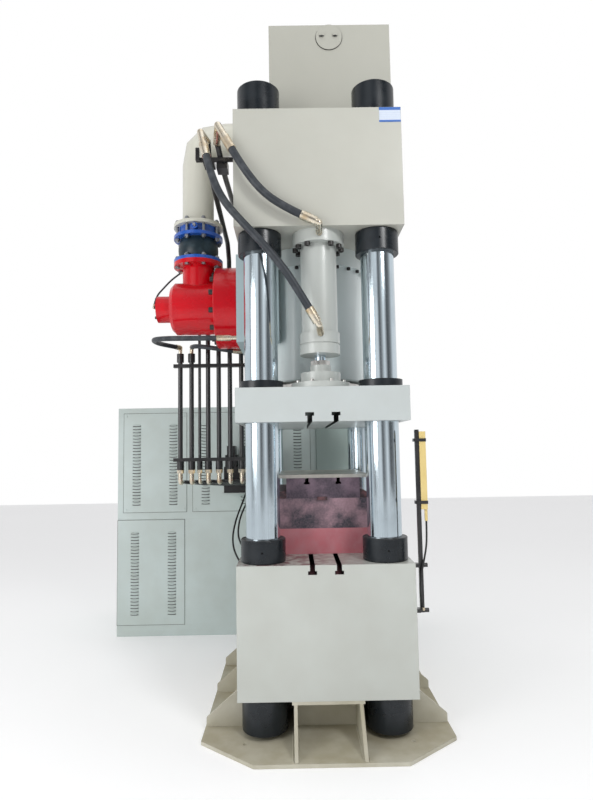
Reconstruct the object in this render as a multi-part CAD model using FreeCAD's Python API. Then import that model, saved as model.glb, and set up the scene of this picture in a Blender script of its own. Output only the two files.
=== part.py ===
import FreeCAD, Part
import math
import os

# Four-column hydraulic press with its power unit. Millimetres.
# X to the right, Y to the rear, Z up. Origin on the floor, centred between the columns.

# ---------------------------------------------------------------- driving sizes
block_width = 1000.0
block_depth = 1400.0
base_bottom = 240.0
base_top = 970.0
beam_bottom = 1770.0
beam_height = 200.0
crown_bottom = 2915.0
crown_height = 720.0
beam_top = beam_bottom + beam_height
crown_top = crown_bottom + crown_height

column_radius = 100.0
column_x = 355.0
column_y = 555.0
column_low = 45.0
column_high = 3825.0
nut_radius = 130.0
base_nut_height = 133.0
crown_nut_height = 136.0
bush_flange_height = 45.0
bush_sleeve_radius = 115.0

slot_x = 75.0
slot_neck = 28.0
slot_head = 50.0
slot_neck_depth = 33.0
slot_head_depth = 20.0

seat_fit = 0.1
guide_clearance = 0.5
piston_clearance = 0.6

plate_thickness = 20.0
foot_half_width = 705.0
foot_half_depth = 900.0
foot_corner_x = 400.0
foot_corner_y = 650.0
anchor_x = 460.0
anchor_y = 690.0
anchor_hole_radius = 12.0

rib_half = 10.0
long_rib_x = 180.0
side_wall_inner = 480.0
cross_y = 473.0
cap_plate_x = 200.0
cap_plate_rear = 490.0
cap_plate_front = 700.0
cap_plate_thickness = 18.0
cap_bolt_x = 105.0
cap_bolt_y = 620.0
cap_bolt_radius = 10.0

barrel_radius = 328.0
main_flange_radius = 362.0
main_flange_height = 119.0
main_bore_radius = 235.0
gland_seam = 2183.0
gland_bottom = 2051.0
ram_radius = 230.0
ram_flange_radius = 300.0
ram_flange_height = 68.0
crown_bore_radius = 300.0
main_cylinder_top = 3558.0

aux_y = 525.0
aux_barrel_radius = 110.0
aux_flange_radius = 157.5
aux_bore_radius = 85.0
aux_collar_radius = 121.0
aux_rod_radius = 35.0
aux_barrel_bottom = 2306.0
aux_collar_bottom = 2175.0
aux_screw_circle = 140.0
main_screw_circle = 345.0

aux_flange_low = crown_bottom - 77.0
aux_bore_top = crown_bottom - 22.0
aux_gland_seat = aux_barrel_bottom - 44.0
aux_groove = aux_barrel_bottom - 74.0
main_bore_top = crown_top - 205.0
piston_low = beam_top + 1230.0
piston_high = piston_low + 200.0
rod_shoulder = beam_top + 730.0
rod_piston_top = rod_shoulder + 60.0
boss_step = beam_top + 34.0
boss_neck = beam_top + 96.0
boss_top = beam_top + 142.0
rod_nut_top = boss_top + 28.0
port_high = aux_flange_low + 38.0
port_low = aux_barrel_bottom - 20.0
port_radius = 14.0

valve_axis_z = 2600.0
pipe_axis_x = -819.0
pipe_axis_z = 3830.0
pipe_radius = 109.5
pipe_wall = 8.0
flange_radius = 170.0
flange_bolt_circle = 147.5
flange_bolt_radius = 10.0
elbow_left = -996.0
housing_left = -684.0
block_left = -528.0

elbow_flange_low = valve_axis_z + 290.0
lower_joint_low = elbow_flange_low + 28.0
lower_joint_high = lower_joint_low + 22.0
upper_joint_low = lower_joint_low + 170.0
disc_body_low = upper_joint_low + 22.0
feed_flange_low = disc_body_low + 60.0
feed_flange_high = feed_flange_low + 24.0
butterfly_z = disc_body_low + 30.0
valve_bore = pipe_radius - pipe_wall
stem_radius = 10.0
mitre_share = 0.41
housing_radius = 280.0
elbow_radius = 180.0
cap_left = -1101.0
poppet_radius = 125.0

riser_y = 400.0
riser_radius = 17.5
riser_x = [-1025.0, -940.0, -879.0, -814.0, -733.0, -648.0, -561.0]
clamp_low = 1533.0
clamp_high = 2245.0
elbow_z = 1372.0
manifold_front = 950.0
manifold_port_x = [-735.0, -685.0, -635.0, -585.0, -535.0, -485.0, -435.0]
manifold_port_z = 1330.0

riser_low = clamp_low - 33.0
sleeve_low = clamp_low - 63.0
shelf_top = clamp_low - 281.0
manifold_top = clamp_low - 63.0
coil_low = manifold_top + 100.0
coil_high = coil_low + 78.0

unit_left = -1745.0
unit_right = 30.0
unit_front = 1228.0
unit_depth = 900.0
unit_height = 2000.0
tank_height = 1010.0
plinth_height = 95.0
cabinet_left = 30.5
cabinet_right = 741.0

panel_spans = [(-1695.0, -1131.0), (-1078.0, -513.0), (-460.0, -21.0)]
louvre_columns = [(-1578.0, -1250.0), (-962.0, -612.0), (-335.0, -136.0)]
panel_low = 1070.0
panel_high = 1952.0
lower_span = (-1744.0, -1150.0)
lower_columns = (-1590.0, -1262.0)
louvre_pitch = 28.0
louvre_width = 72.0
louvre_gap = 10.0
panel_skin = 3.0
post_y = -640.0

tank_left = -290.0
tank_right = 500.0
tank_half_depth = 410.0
tank_top = 4381.0
tank_wall = 8.0

cover_x = 103.0
cover_z = 4294.0

bolster_top = 1125.0
die_low_top = 1308.0
die_high_top = 1434.0
cover_top = 1455.0
die_front = 358.0
die_half_width = 300.0

die_slot_x = (-91.0, 105.0)

pressure_hose = 46.0
loop_hose_size = 34.0
pilot_hose_size = 12.0
cable_size = 14.0
lead_size = 11.0
bend_share = 0.45


# ---------------------------------------------------------------- small tools
def vec(x, y, z):
    return FreeCAD.Vector(x, y, z)


def box(x0, x1, y0, y1, z0, z1):
    """Block between two corners."""
    return Part.makeBox(x1 - x0, y1 - y0, z1 - z0, vec(x0, y0, z0))


def post(x, y, z0, z1, radius):
    """Upright round bar."""
    return Part.makeCylinder(radius, z1 - z0, vec(x, y, z0))


def bar(start, end, radius):
    """Round bar between two points."""
    a = vec(*start)
    b = vec(*end)
    return Part.makeCylinder(radius, (b - a).Length, a, b - a)


def ring(x, y, z0, z1, outer, inner):
    """Upright ring."""
    return post(x, y, z0, z1, outer).cut(post(x, y, z0 - 1, z1 + 1, inner))


def group(shapes):
    return Part.makeCompound(shapes)


def hexagon(x, y, z0, z1, across):
    """Upright hexagonal bar, by its width across flats."""
    corner = across / math.sqrt(3.0)
    points = []
    for i in range(7):
        angle = math.radians(60.0 * i)
        points.append(vec(x + corner * math.cos(angle), y + corner * math.sin(angle), z0))
    return Part.Face(Part.makePolygon(points)).extrude(vec(0, 0, z1 - z0))


def plate_xz(points, y0, y1):
    """Plate cut to a profile in X and Z."""
    ends = points + points[:1]
    wire = Part.makePolygon([vec(x, y0, z) for x, z in ends])
    return Part.Face(wire).extrude(vec(0, y1 - y0, 0))


def plate_yz(points, x0, x1):
    """Plate cut to a profile in Y and Z."""
    ends = points + points[:1]
    wire = Part.makePolygon([vec(x0, y, z) for y, z in ends])
    return Part.Face(wire).extrude(vec(x1 - x0, 0, 0))


def circle_points(radius, count, start):
    """Points round a circle, as pairs, from a start angle in degrees."""
    points = []
    for i in range(count):
        angle = math.radians(start + 360.0 * i / count)
        points.append((radius * math.cos(angle), radius * math.sin(angle)))
    return points


def corners(x, y):
    return [(-x, -y), (x, -y), (-x, y), (x, y)]


def bend_path(points, bend_radius):
    """Straight runs joined by tangent arcs: wire, its length and the arc radii."""
    knots = [vec(*p) for p in points]
    edges = []
    radii = []
    start = knots[0]
    for i in range(1, len(knots) - 1):
        before = knots[i] - knots[i - 1]
        after = knots[i + 1] - knots[i]
        shorter = min(before.Length, after.Length)
        turn = before.getAngle(after)
        tangent = bend_share * shorter
        if bend_radius:
            tangent = bend_radius * math.tan(turn / 2.0)
        radius = tangent / math.tan(turn / 2.0)
        radii.append(radius)
        before.normalize()
        after.normalize()
        arc_start = knots[i] - before * tangent
        arc_end = knots[i] + after * tangent
        inward = after - before
        inward.normalize()
        middle = knots[i] + inward * (radius / math.cos(turn / 2.0) - radius)
        edges.append(Part.LineSegment(start, arc_start).toShape())
        edges.append(Part.Arc(arc_start, middle, arc_end).toShape())
        start = arc_end
    edges.append(Part.LineSegment(start, knots[-1]).toShape())
    wire = Part.Wire(edges)
    return wire, wire.Length, radii


def tube(points, radius, bend_radius=0.0, inner=0.0):
    """Round tube swept along straight runs and arcs."""
    wire, length, radii = bend_path(points, bend_radius)
    start = vec(*points[0])
    direction = vec(*points[1]) - start

    def sweep(size):
        profile = Part.Wire([Part.Circle(start, direction, size).toShape()])
        return wire.makePipeShell([profile], True, False)

    solid = sweep(radius)
    expected = math.pi * radius ** 2 * length
    if abs(solid.Volume - expected) > 0.01 * expected:
        print("tube volume off", solid.Volume, expected)
    if inner:
        solid = solid.cut(sweep(inner))
    return solid


def hose(name, points, size):
    """Hose or cable, with its bend radii and length printed."""
    wire, length, radii = bend_path(points, 0.0)
    print(name, "length", round(length), "radii", [round(r) for r in radii], "size", size)
    return tube(points, size / 2.0)


def cap_screw(x, y, face, radius, head, shank):
    """Socket cap screw below a face, its shank pointing up."""
    screw = post(x, y, face - head, face, radius)
    socket = hexagon(x, y, face - head - 1, face - head * 0.5, radius * 0.95)
    return screw.cut(socket).fuse(post(x, y, face, face + shank, radius * 0.62))


# ---------------------------------------------------------------- foot
def foot_plate():
    """Octagonal floor plate with its four anchor holes."""
    w, d = foot_half_width, foot_half_depth
    cx, cy = foot_corner_x, foot_corner_y
    outline = [(-cx, -d), (cx, -d), (w, -cy), (w, cy), (cx, d), (-cx, d), (-w, cy), (-w, -cy)]
    wire = Part.makePolygon([vec(x, y, 0) for x, y in outline + outline[:1]])
    plate = Part.Face(wire).extrude(vec(0, 0, plate_thickness))
    holes = [post(x, y, -1, plate_thickness + 1, anchor_hole_radius) for x, y in corners(anchor_x, anchor_y)]
    return plate.cut(group(holes))


def foot_frame():
    """Welded plates between the foot plate and the base block."""
    low = plate_thickness
    step = base_bottom - cap_plate_thickness
    pieces = []
    half = block_width / 2.0
    for side in (-1, 1):
        x0, x1 = sorted((side * side_wall_inner, side * half))
        pieces.append(box(x0, x1, -cross_y - rib_half, cross_y + rib_half, low, base_bottom))
        profile = [(-895, low), (-cap_plate_front, step), (-cap_plate_rear, step)]
        profile += [(-cap_plate_rear, base_bottom), (cap_plate_rear, base_bottom)]
        profile += [(cap_plate_rear, step), (cap_plate_front, step), (895, low)]
        rib_x = side * long_rib_x
        pieces.append(plate_yz(profile, rib_x - rib_half, rib_x + rib_half))
        gusset = [(side * half, low), (side * 700, low), (side * 700, 69), (side * half, 238)]
        for y in (-cross_y, 0, cross_y):
            pieces.append(plate_xz(gusset, y - rib_half, y + rib_half))
        x0, x1 = sorted((side * (long_rib_x + rib_half), side * side_wall_inner))
        pieces.append(box(x0, x1, -rib_half, rib_half, low, base_bottom))
        y0, y1 = sorted((side * cap_plate_front, side * cap_plate_rear))
        cap = box(-cap_plate_x, cap_plate_x, y0, y1, step, base_bottom)
        for x in (-cap_bolt_x, cap_bolt_x):
            cap = cap.cut(post(x, side * cap_bolt_y, step - 1, base_bottom + 1, cap_bolt_radius + 1))
        pieces.append(cap)
        y0, y1 = sorted((side * cap_plate_rear, side * (cap_plate_rear - 2 * rib_half)))
        inner = long_rib_x - rib_half
        pieces.append(box(-inner, inner, y0, y1, low, base_bottom))
    inner = long_rib_x - rib_half
    pieces.append(box(-inner, inner, -rib_half, rib_half, low, base_bottom))
    return group(pieces)


def foot_bolts():
    """Screws of the stepped cap plates."""
    face = base_bottom - cap_plate_thickness
    bolts = []
    for x, y in corners(cap_bolt_x, cap_bolt_y):
        head = hexagon(x, y, face - 13, face, 30)
        bolts.append(head.fuse(post(x, y, face, base_bottom + 35, cap_bolt_radius)))
    return group(bolts)


# ---------------------------------------------------------------- blocks and columns
def slot_cutter(face, way):
    """Both T-slots from a face, cutting down (way -1) or up (way 1)."""
    cutters = []
    y = block_depth / 2.0 + 5
    for x in (-slot_x, slot_x):
        z = face + way * slot_neck_depth
        low, high = sorted((face - way * 5, z))
        cutters.append(box(x - slot_neck / 2, x + slot_neck / 2, -y, y, low, high))
        low, high = sorted((z, z + way * slot_head_depth))
        cutters.append(box(x - slot_head / 2, x + slot_head / 2, -y, y, low, high))
    return group(cutters)


def block(z0, z1, hole_radius):
    """Plain block with its four column holes."""
    w, d = block_width / 2.0, block_depth / 2.0
    holes = [post(x, y, z0 - 1, z1 + 1, hole_radius) for x, y in corners(column_x, column_y)]
    return box(-w, w, -d, d, z0, z1).cut(group(holes))


def base_block():
    """Lower block with its two T-slots."""
    shape = block(base_bottom, base_top, column_radius + seat_fit)
    shape = shape.cut(slot_cutter(base_top, -1))
    holes = []
    for x, y in corners(cap_bolt_x, cap_bolt_y):
        holes.append(post(x, y, base_bottom - 1, base_bottom + 45, cap_bolt_radius + seat_fit))
    return shape.cut(group(holes))


def crown_block():
    """Upper block with the cylinder seats and screw holes."""
    shape = block(crown_bottom, crown_top, column_radius + seat_fit)
    bore = post(0, 0, crown_bottom - 1, main_cylinder_top + 2, crown_bore_radius + seat_fit)
    return shape.cut(bore).cut(crown_screw_holes())


def columns():
    """Four columns with turned-down ends."""
    pieces = []
    for x, y in corners(column_x, column_y):
        column = post(x, y, column_low, column_high, column_radius)
        edges = [e for e in column.Edges if abs(e.Length - 2 * math.pi * column_radius) < 1]
        pieces.append(column.makeChamfer(4, edges))
    return group(pieces)


def column_nut(x, y, z0, z1, screw_hole):
    """Round column nut with a chamfered rim and a radial locking screw hole."""
    nut = post(x, y, z0, z1, nut_radius)
    edges = [e for e in nut.Edges if abs(e.Length - 2 * math.pi * nut_radius) < 1]
    nut = nut.makeChamfer(4, edges)
    nut = nut.cut(post(x, y, z0 - 1, z1 + 1, column_radius + seat_fit))
    if screw_hole:
        middle = (z0 + z1) / 2.0
        side = -1 if y < 0 else 1
        nut = nut.cut(bar((x, y + side * (nut_radius - 14), middle), (x, y + side * (nut_radius + 1), middle), 6))
    return nut


def outer_nuts():
    """Nuts on the ends of the columns."""
    nuts = []
    for x, y in corners(column_x, column_y):
        nuts.append(column_nut(x, y, column_low, base_bottom, False))
        nuts.append(column_nut(x, y, crown_top, column_high, False))
    return group(nuts)


def inner_nuts():
    """Collar nuts against the inner faces of both blocks."""
    nuts = []
    for x, y in corners(column_x, column_y):
        nuts.append(column_nut(x, y, base_top, base_top + base_nut_height, True))
        nuts.append(column_nut(x, y, crown_bottom - crown_nut_height, crown_bottom, True))
    return group(nuts)


# ---------------------------------------------------------------- cylinders
main_screws = circle_points(main_screw_circle, 24, 7.5)
aux_screws = circle_points(aux_screw_circle, 12, 0.0)


def aux_screw_points(side):
    """Screw positions round one return cylinder, without the one at its port."""
    points = []
    for x, y in aux_screws:
        if side * y < aux_screw_circle - 1:
            points.append((x, side * aux_y + y))
    return points


def crown_screw_holes():
    """Tapped holes for the cylinder flanges."""
    holes = [post(x, y, crown_bottom - 1, crown_bottom + 42, 7.5 + seat_fit) for x, y in main_screws]
    for side in (-1, 1):
        for x, y in aux_screw_points(side):
            holes.append(post(x, y, crown_bottom - 1, crown_bottom + 42, 10.5 + seat_fit))
    return group(holes)


def main_cylinder():
    """Main barrel with its flange, head and prefill port."""
    flange_low = crown_bottom - main_flange_height
    shape = post(0, 0, gland_seam, flange_low, barrel_radius)
    shape = shape.fuse(post(0, 0, flange_low, crown_bottom, main_flange_radius))
    shape = shape.fuse(post(0, 0, crown_bottom, main_cylinder_top, crown_bore_radius))
    shape = shape.cut(post(0, 0, gland_seam - 1, main_bore_top, main_bore_radius))
    shape = shape.cut(bar((-400, 0, valve_axis_z), (0, 0, valve_axis_z), 90))
    holes = [post(x, y, flange_low - 1, crown_bottom + 1, 7.5 + seat_fit) for x, y in main_screws]
    return shape.cut(group(holes))


def main_gland():
    """Seal gland under the main barrel."""
    shape = post(0, 0, gland_bottom, gland_seam, barrel_radius + 4)
    edges = [e for e in shape.Edges if abs(e.BoundBox.ZMax - gland_bottom) < 0.1 and e.Length > 100]
    shape = shape.makeChamfer(8, edges)
    return shape.cut(post(0, 0, gland_bottom - 1, gland_seam + 1, ram_radius + piston_clearance))


def return_cylinders():
    """Front and rear return cylinders."""
    pieces = []
    for side in (-1, 1):
        y = side * aux_y
        shape = post(0, y, aux_flange_low, crown_bottom, aux_flange_radius)
        shape = shape.fuse(post(0, y, aux_barrel_bottom, aux_flange_low, aux_barrel_radius))
        shape = shape.cut(post(0, y, aux_barrel_bottom - 1, aux_bore_top, aux_bore_radius))
        shape = shape.cut(bar((0, y, port_high), (0, y + side * 200, port_high), port_radius))
        spots = aux_screw_points(side)
        holes = [post(px, py, aux_flange_low - 1, crown_bottom + 1, 10.5 + seat_fit) for px, py in spots]
        pieces.append(shape.cut(group(holes)))
    return group(pieces)


def return_glands():
    """Glands of the return cylinders with their lower ports."""
    pieces = []
    for side in (-1, 1):
        y = side * aux_y
        shape = post(0, y, aux_collar_bottom, aux_barrel_bottom, aux_collar_radius)
        shape = shape.cut(post(0, y, aux_collar_bottom - 1, aux_gland_seat, aux_rod_radius + guide_clearance))
        shape = shape.cut(post(0, y, aux_gland_seat - 1, aux_barrel_bottom + 1, 60))
        shape = shape.cut(ring(0, y, aux_groove, aux_groove + 8, aux_collar_radius + 1, aux_collar_radius - 4))
        shape = shape.cut(bar((0, y, port_low), (0, y + side * 200, port_low), port_radius))
        pieces.append(shape)
    return group(pieces)


def cylinder_screws():
    """Flange screws of all three cylinders."""
    low = crown_bottom - main_flange_height
    screws = [cap_screw(x, y, low, 12, 16, main_flange_height + 40) for x, y in main_screws]
    for side in (-1, 1):
        for x, y in aux_screw_points(side):
            screws.append(cap_screw(x, y, aux_flange_low, 17, 22, 117))
    return group(screws)


# ---------------------------------------------------------------- moving beam
ram_screws = circle_points(265.0, 8, 22.5)
boss_screws = circle_points(148.0, 8, 22.5)


def moving_beam():
    """Moving beam with its T-slots and bush seats."""
    shape = block(beam_bottom, beam_top, bush_sleeve_radius + seat_fit)
    shape = shape.cut(slot_cutter(beam_bottom, 1))
    holes = [post(x, y, beam_top - 45, beam_top + 1, 12 + seat_fit) for x, y in ram_screws]
    for side in (-1, 1):
        for x, y in boss_screws:
            holes.append(post(x, side * aux_y + y, beam_top - 35, beam_top + 1, 7 + seat_fit))
    return shape.cut(group(holes))


def guide_bushes():
    """Flanged bushes between beam and columns."""
    pieces = []
    for x, y in corners(column_x, column_y):
        shape = post(x, y, beam_bottom + 3, beam_top, bush_sleeve_radius)
        shape = shape.fuse(post(x, y, beam_top, beam_top + bush_flange_height, nut_radius))
        pieces.append(shape.cut(post(x, y, beam_bottom, beam_top + 60, column_radius + guide_clearance)))
    return group(pieces)


def main_ram():
    """Main ram with its piston and foot flange."""
    shape = post(0, 0, beam_top, beam_top + ram_flange_height, ram_flange_radius)
    shape = shape.fuse(post(0, 0, beam_top, piston_low, ram_radius))
    shape = shape.fuse(post(0, 0, piston_low, piston_high, main_bore_radius - piston_clearance))
    holes = []
    for x, y in ram_screws:
        holes.append(post(x, y, beam_top - 1, beam_top + 70, 13))
        holes.append(post(x, y, beam_top + ram_flange_height - 24, beam_top + 70, 20))
    return shape.cut(group(holes))


def return_rods():
    """Rods and pistons of the return cylinders."""
    pieces = []
    for side in (-1, 1):
        y = side * aux_y
        shape = post(0, y, beam_top + 6, rod_shoulder, aux_rod_radius)
        pieces.append(shape.fuse(post(0, y, rod_shoulder, rod_piston_top, aux_bore_radius - piston_clearance)))
    return group(pieces)


def rod_bosses():
    """Stepped bosses that hold the rods to the beam."""
    pieces = []
    for side in (-1, 1):
        y = side * aux_y
        shape = post(0, y, beam_top, boss_step, 175)
        shape = shape.fuse(post(0, y, boss_step, boss_neck, 120))
        shape = shape.fuse(post(0, y, boss_neck, boss_top, 62.5))
        shape = shape.cut(post(0, y, beam_top + 6, boss_top + 8, aux_rod_radius + seat_fit))
        holes = [post(x, y + dy, beam_top - 1, boss_step + 1, 8) for x, dy in boss_screws]
        pieces.append(shape.cut(group(holes)))
    return group(pieces)


def slide_fasteners():
    """Ram screws, boss screws and rod lock nuts on the moving beam."""
    pieces = []
    seat = beam_top + ram_flange_height - 24
    for x, y in ram_screws:
        head = post(x, y, seat, seat + 24, 18).cut(hexagon(x, y, seat + 12, seat + 25, 19))
        pieces.append(head.fuse(post(x, y, beam_top - 40, seat, 12)))
    for side in (-1, 1):
        for x, y in boss_screws:
            head = post(x, side * aux_y + y, boss_step, boss_step + 14, 11)
            head = head.cut(hexagon(x, side * aux_y + y, boss_step + 7, boss_step + 15, 12))
            pieces.append(head.fuse(post(x, side * aux_y + y, beam_top - 30, boss_step, 7)))
        y = side * aux_y
        nut = hexagon(0, y, boss_top, rod_nut_top, 100)
        pieces.append(nut.cut(post(0, y, boss_top - 1, rod_nut_top + 1, aux_rod_radius + seat_fit)))
    return group(pieces)


# ---------------------------------------------------------------- tooling
def bolster_block():
    """Red bolster on the bed."""
    return box(-die_half_width, die_half_width, -die_front, die_front, base_top, bolster_top)


def die_lower_block():
    """Lower die block."""
    return box(-die_half_width, die_half_width, -die_front, die_front, bolster_top, die_low_top)


def die_upper_block():
    """Upper die block with its clamp slots."""
    shape = box(-219, 238, -die_front, die_front, die_low_top, die_high_top)
    for x in die_slot_x:
        shape = shape.cut(box(x - 11, x + 11, -400, 400, die_high_top - 26, die_high_top + 1))
        shape = shape.cut(box(x - 18, x + 18, -400, 400, die_high_top - 40, die_high_top - 26))
    return shape


def die_clamps():
    """Stop block at the left, wedge at the right and the key in the seam."""
    stop = box(-300, -219, -die_front + 4, die_front - 4, die_low_top, die_low_top + 44)
    profile = [(238, die_low_top), (300, die_low_top), (300, die_low_top + 26), (238, die_low_top + 58)]
    wedge = plate_xz(profile, -die_front + 4, die_front - 4)
    key = box(-30, 35, -die_front - 8, -die_front, die_low_top - 12, die_low_top + 10)
    return group([stop, wedge, key])


def die_cover_plate():
    """Ground plate on the dies."""
    return box(-262, 290, -die_front, die_front, die_high_top, cover_top)


# ---------------------------------------------------------------- top tank and feed pipe


def top_tank():
    """Prefill tank on the crown."""
    d, w = tank_half_depth, tank_wall
    shape = box(tank_left, tank_right, -d, d, crown_top, tank_top)
    shape = shape.cut(box(tank_left + w, tank_right - w, -d + w, d - w, crown_top + w, tank_top - w))
    shape = shape.cut(bar((tank_left - 1, 0, pipe_axis_z), (tank_left + 20, 0, pipe_axis_z), pipe_radius + seat_fit))
    return shape.cut(bar((cover_x, -d - 1, cover_z), (cover_x, -d + 20, cover_z), 66))


def tank_cover():
    """Round inspection cover with its two catches."""
    y = -tank_half_depth
    cover = bar((cover_x, y, cover_z), (cover_x, y - 8, cover_z), 85)
    pieces = [cover]
    for x in (56, 143):
        pieces.append(box(x - 14, x + 14, y - 18, y - 8, cover_z + 4, cover_z + 20))
    return group(pieces)


def feed_pipe():
    """Tank outlet pipe with its mitred bend and lower flange."""
    x, z = pipe_axis_x, pipe_axis_z
    reach = 210.0
    cut = reach * mitre_share
    points = [(tank_left + tank_wall, z), (x + reach, z), (x + cut, z - cut * 0.24), (x + cut * 0.24, z - cut)]
    points += [(x, z - reach), (x, feed_flange_high)]
    wire = Part.makePolygon([vec(px, 0, pz) for px, pz in points])
    start = vec(points[0][0], 0, z)
    solids = []
    for size in (pipe_radius, pipe_radius - pipe_wall):
        profile = Part.Wire([Part.Circle(start, vec(-1, 0, 0), size).toShape()])
        solids.append(wire.makePipeShell([profile], True, False, 1))
    shape = solids[0].fuse(post(x, 0, feed_flange_low, feed_flange_high, flange_radius))
    shape = shape.cut(solids[1]).cut(post(x, 0, feed_flange_low - 1, feed_flange_high + 2, pipe_radius - pipe_wall))
    return shape.cut(flange_holes(feed_flange_low - 1, feed_flange_high + 1))


def flange_holes(z0, z1):
    holes = []
    for dx, dy in circle_points(flange_bolt_circle, 8, 22.5):
        holes.append(post(pipe_axis_x + dx, dy, z0, z1, flange_bolt_radius + 1))
    return group(holes)


# ---------------------------------------------------------------- butterfly valve and joint


def butterfly_body():
    """Wafer body of the shut-off valve."""
    x = pipe_axis_x
    shape = post(x, 0, disc_body_low, feed_flange_low, 134)
    shape = shape.fuse(bar((x, -120, butterfly_z), (x, -172, butterfly_z), 22))
    shape = shape.fuse(bar((x, 120, butterfly_z), (x, 150, butterfly_z), 20))
    shape = shape.cut(post(x, 0, disc_body_low - 1, feed_flange_low + 1, valve_bore))
    return shape.cut(bar((x, -180, butterfly_z), (x, 138, butterfly_z), stem_radius + guide_clearance))


def butterfly_disc():
    """Disc, stem and square drive end."""
    x = pipe_axis_x
    shape = post(x, 0, butterfly_z - 7, butterfly_z + 7, valve_bore - 1.5)
    shape = shape.fuse(bar((x, -178, butterfly_z), (x, 136, butterfly_z), stem_radius))
    return shape.fuse(box(x - 8, x + 8, -196, -178, butterfly_z - 8, butterfly_z + 8))


def joint_flanges():
    """Loose flanges of the rubber joint."""
    pieces = []
    for z0, z1 in ((upper_joint_low, disc_body_low), (lower_joint_low, lower_joint_high)):
        shape = ring(pipe_axis_x, 0, z0, z1, flange_radius, 125 + seat_fit)
        pieces.append(shape.cut(flange_holes(z0 - 1, z1 + 1)))
    return group(pieces)


def expansion_joint():
    """Rubber bellows held by its beads inside the two loose flanges."""
    x = pipe_axis_x
    low = [(valve_bore, lower_joint_low), (125, lower_joint_low), (125, lower_joint_high + 6)]
    edges = [Part.LineSegment(vec(x + a, 0, b), vec(x + c, 0, d)).toShape() for (a, b), (c, d) in zip(low, low[1:])]
    crest = vec(x + 139, 0, upper_joint_low - 74)
    edges.append(Part.Arc(vec(x + 125, 0, lower_joint_high + 6), crest, vec(x + 125, 0, upper_joint_low - 6)).toShape())
    high = [(125, upper_joint_low - 6), (125, disc_body_low), (valve_bore, disc_body_low), (valve_bore, lower_joint_low)]
    for (a, b), (c, d) in zip(high, high[1:]):
        edges.append(Part.LineSegment(vec(x + a, 0, b), vec(x + c, 0, d)).toShape())
    face = Part.Face(Part.Wire(edges))
    return face.revolve(vec(x, 0, 0), vec(0, 0, 1), 360)


def flange_studs():
    """Studs and nuts through the flanges."""
    pieces = []
    for dx, dy in circle_points(flange_bolt_circle, 8, 22.5):
        x = pipe_axis_x + dx
        upper = post(x, dy, upper_joint_low - 24, feed_flange_high + 24, flange_bolt_radius)
        upper = upper.fuse(hexagon(x, dy, feed_flange_high, feed_flange_high + 16, 30)).fuse(hexagon(x, dy, upper_joint_low - 16, upper_joint_low, 30))
        lower = post(x, dy, elbow_flange_low - 12, lower_joint_high + 22, flange_bolt_radius)
        lower = lower.fuse(hexagon(x, dy, lower_joint_high, lower_joint_high + 16, 30)).fuse(hexagon(x, dy, elbow_flange_low - 11, elbow_flange_low, 30))
        pieces += [upper, lower]
    return group(pieces)


# ---------------------------------------------------------------- prefill valve
prefill_screw_points = circle_points(232.0, 12, 15.0)
pilot_screw_points = circle_points(74.0, 6, 0.0)


def along_x(x0, x1, y, z, radius):
    return bar((x0, y, z), (x1, y, z), radius)


def prefill_elbow():
    """Cast elbow of the prefill valve."""
    z = valve_axis_z
    shape = along_x(elbow_left, housing_left, 0, z, elbow_radius)
    edges = [e for e in shape.Edges if e.BoundBox.XMax < elbow_left + 1 and e.Length > 100]
    shape = shape.makeChamfer(26, edges)
    shape = shape.fuse(post(pipe_axis_x, 0, z, elbow_flange_low, pipe_radius))
    shape = shape.fuse(post(pipe_axis_x, 0, elbow_flange_low, lower_joint_low, flange_radius))
    shape = shape.cut(post(pipe_axis_x, 0, z, lower_joint_low + 1, valve_bore))
    shape = shape.cut(along_x(elbow_left + 40, housing_left + 1, 0, z, 150))
    shape = shape.cut(along_x(elbow_left - 1, elbow_left + 41, 0, z, 18 + guide_clearance))
    return shape.cut(flange_holes(elbow_flange_low - 1, lower_joint_low + 1))


def prefill_housing():
    """Housing of the prefill valve."""
    z = valve_axis_z
    shape = along_x(housing_left, block_left, 0, z, housing_radius)
    edges = [e for e in shape.Edges if abs(e.Length - 2 * math.pi * housing_radius) < 1]
    shape = shape.makeChamfer(5, edges)
    shape = shape.cut(along_x(housing_left - 1, block_left + 1, 0, z, 110))
    shape = shape.cut(along_x(-562, block_left + 1, 0, z, 140))
    holes = [along_x(housing_left - 1, block_left + 1, y, z + dz, 12.5) for y, dz in prefill_screw_points]
    return shape.cut(group(holes))


def valve_block():
    """Block between housing and main barrel."""
    z = valve_axis_z
    shape = box(block_left, -250, -290, 290, z - 290, z + 290)
    flange_low = crown_bottom - main_flange_height
    shape = shape.cut(post(0, 0, gland_bottom, crown_bottom, barrel_radius + seat_fit))
    shape = shape.cut(post(0, 0, flange_low - 26, crown_bottom, main_flange_radius + seat_fit))
    shape = shape.cut(along_x(block_left - 1, -436, 0, z, 140))
    shape = shape.cut(along_x(-440, -200, 0, z, 90))
    holes = [along_x(block_left - 1, block_left + 40, y, z + dz, 11 + seat_fit) for y, dz in prefill_screw_points]
    for y, port_z in ((-252, 2346), (221, 2331)):
        holes.append(along_x(block_left - 1, block_left + 30, y, port_z, 10))
    return shape.cut(group(holes))


def pilot_cap():
    """Cap of the pilot cylinder."""
    z = valve_axis_z
    shape = along_x(cap_left, elbow_left, 0, z, 92)
    return shape.cut(along_x(cap_left + 16, elbow_left + 1, 0, z, 60))


def prefill_poppet():
    """Poppet, stem and pilot piston, as one assembly."""
    z = valve_axis_z
    shape = along_x(-561.4, -541, 0, z, poppet_radius)
    shape = shape.fuse(along_x(-1060, -561, 0, z, 18))
    return shape.fuse(along_x(-1080, -1055, 0, z, 60 - piston_clearance))


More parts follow.
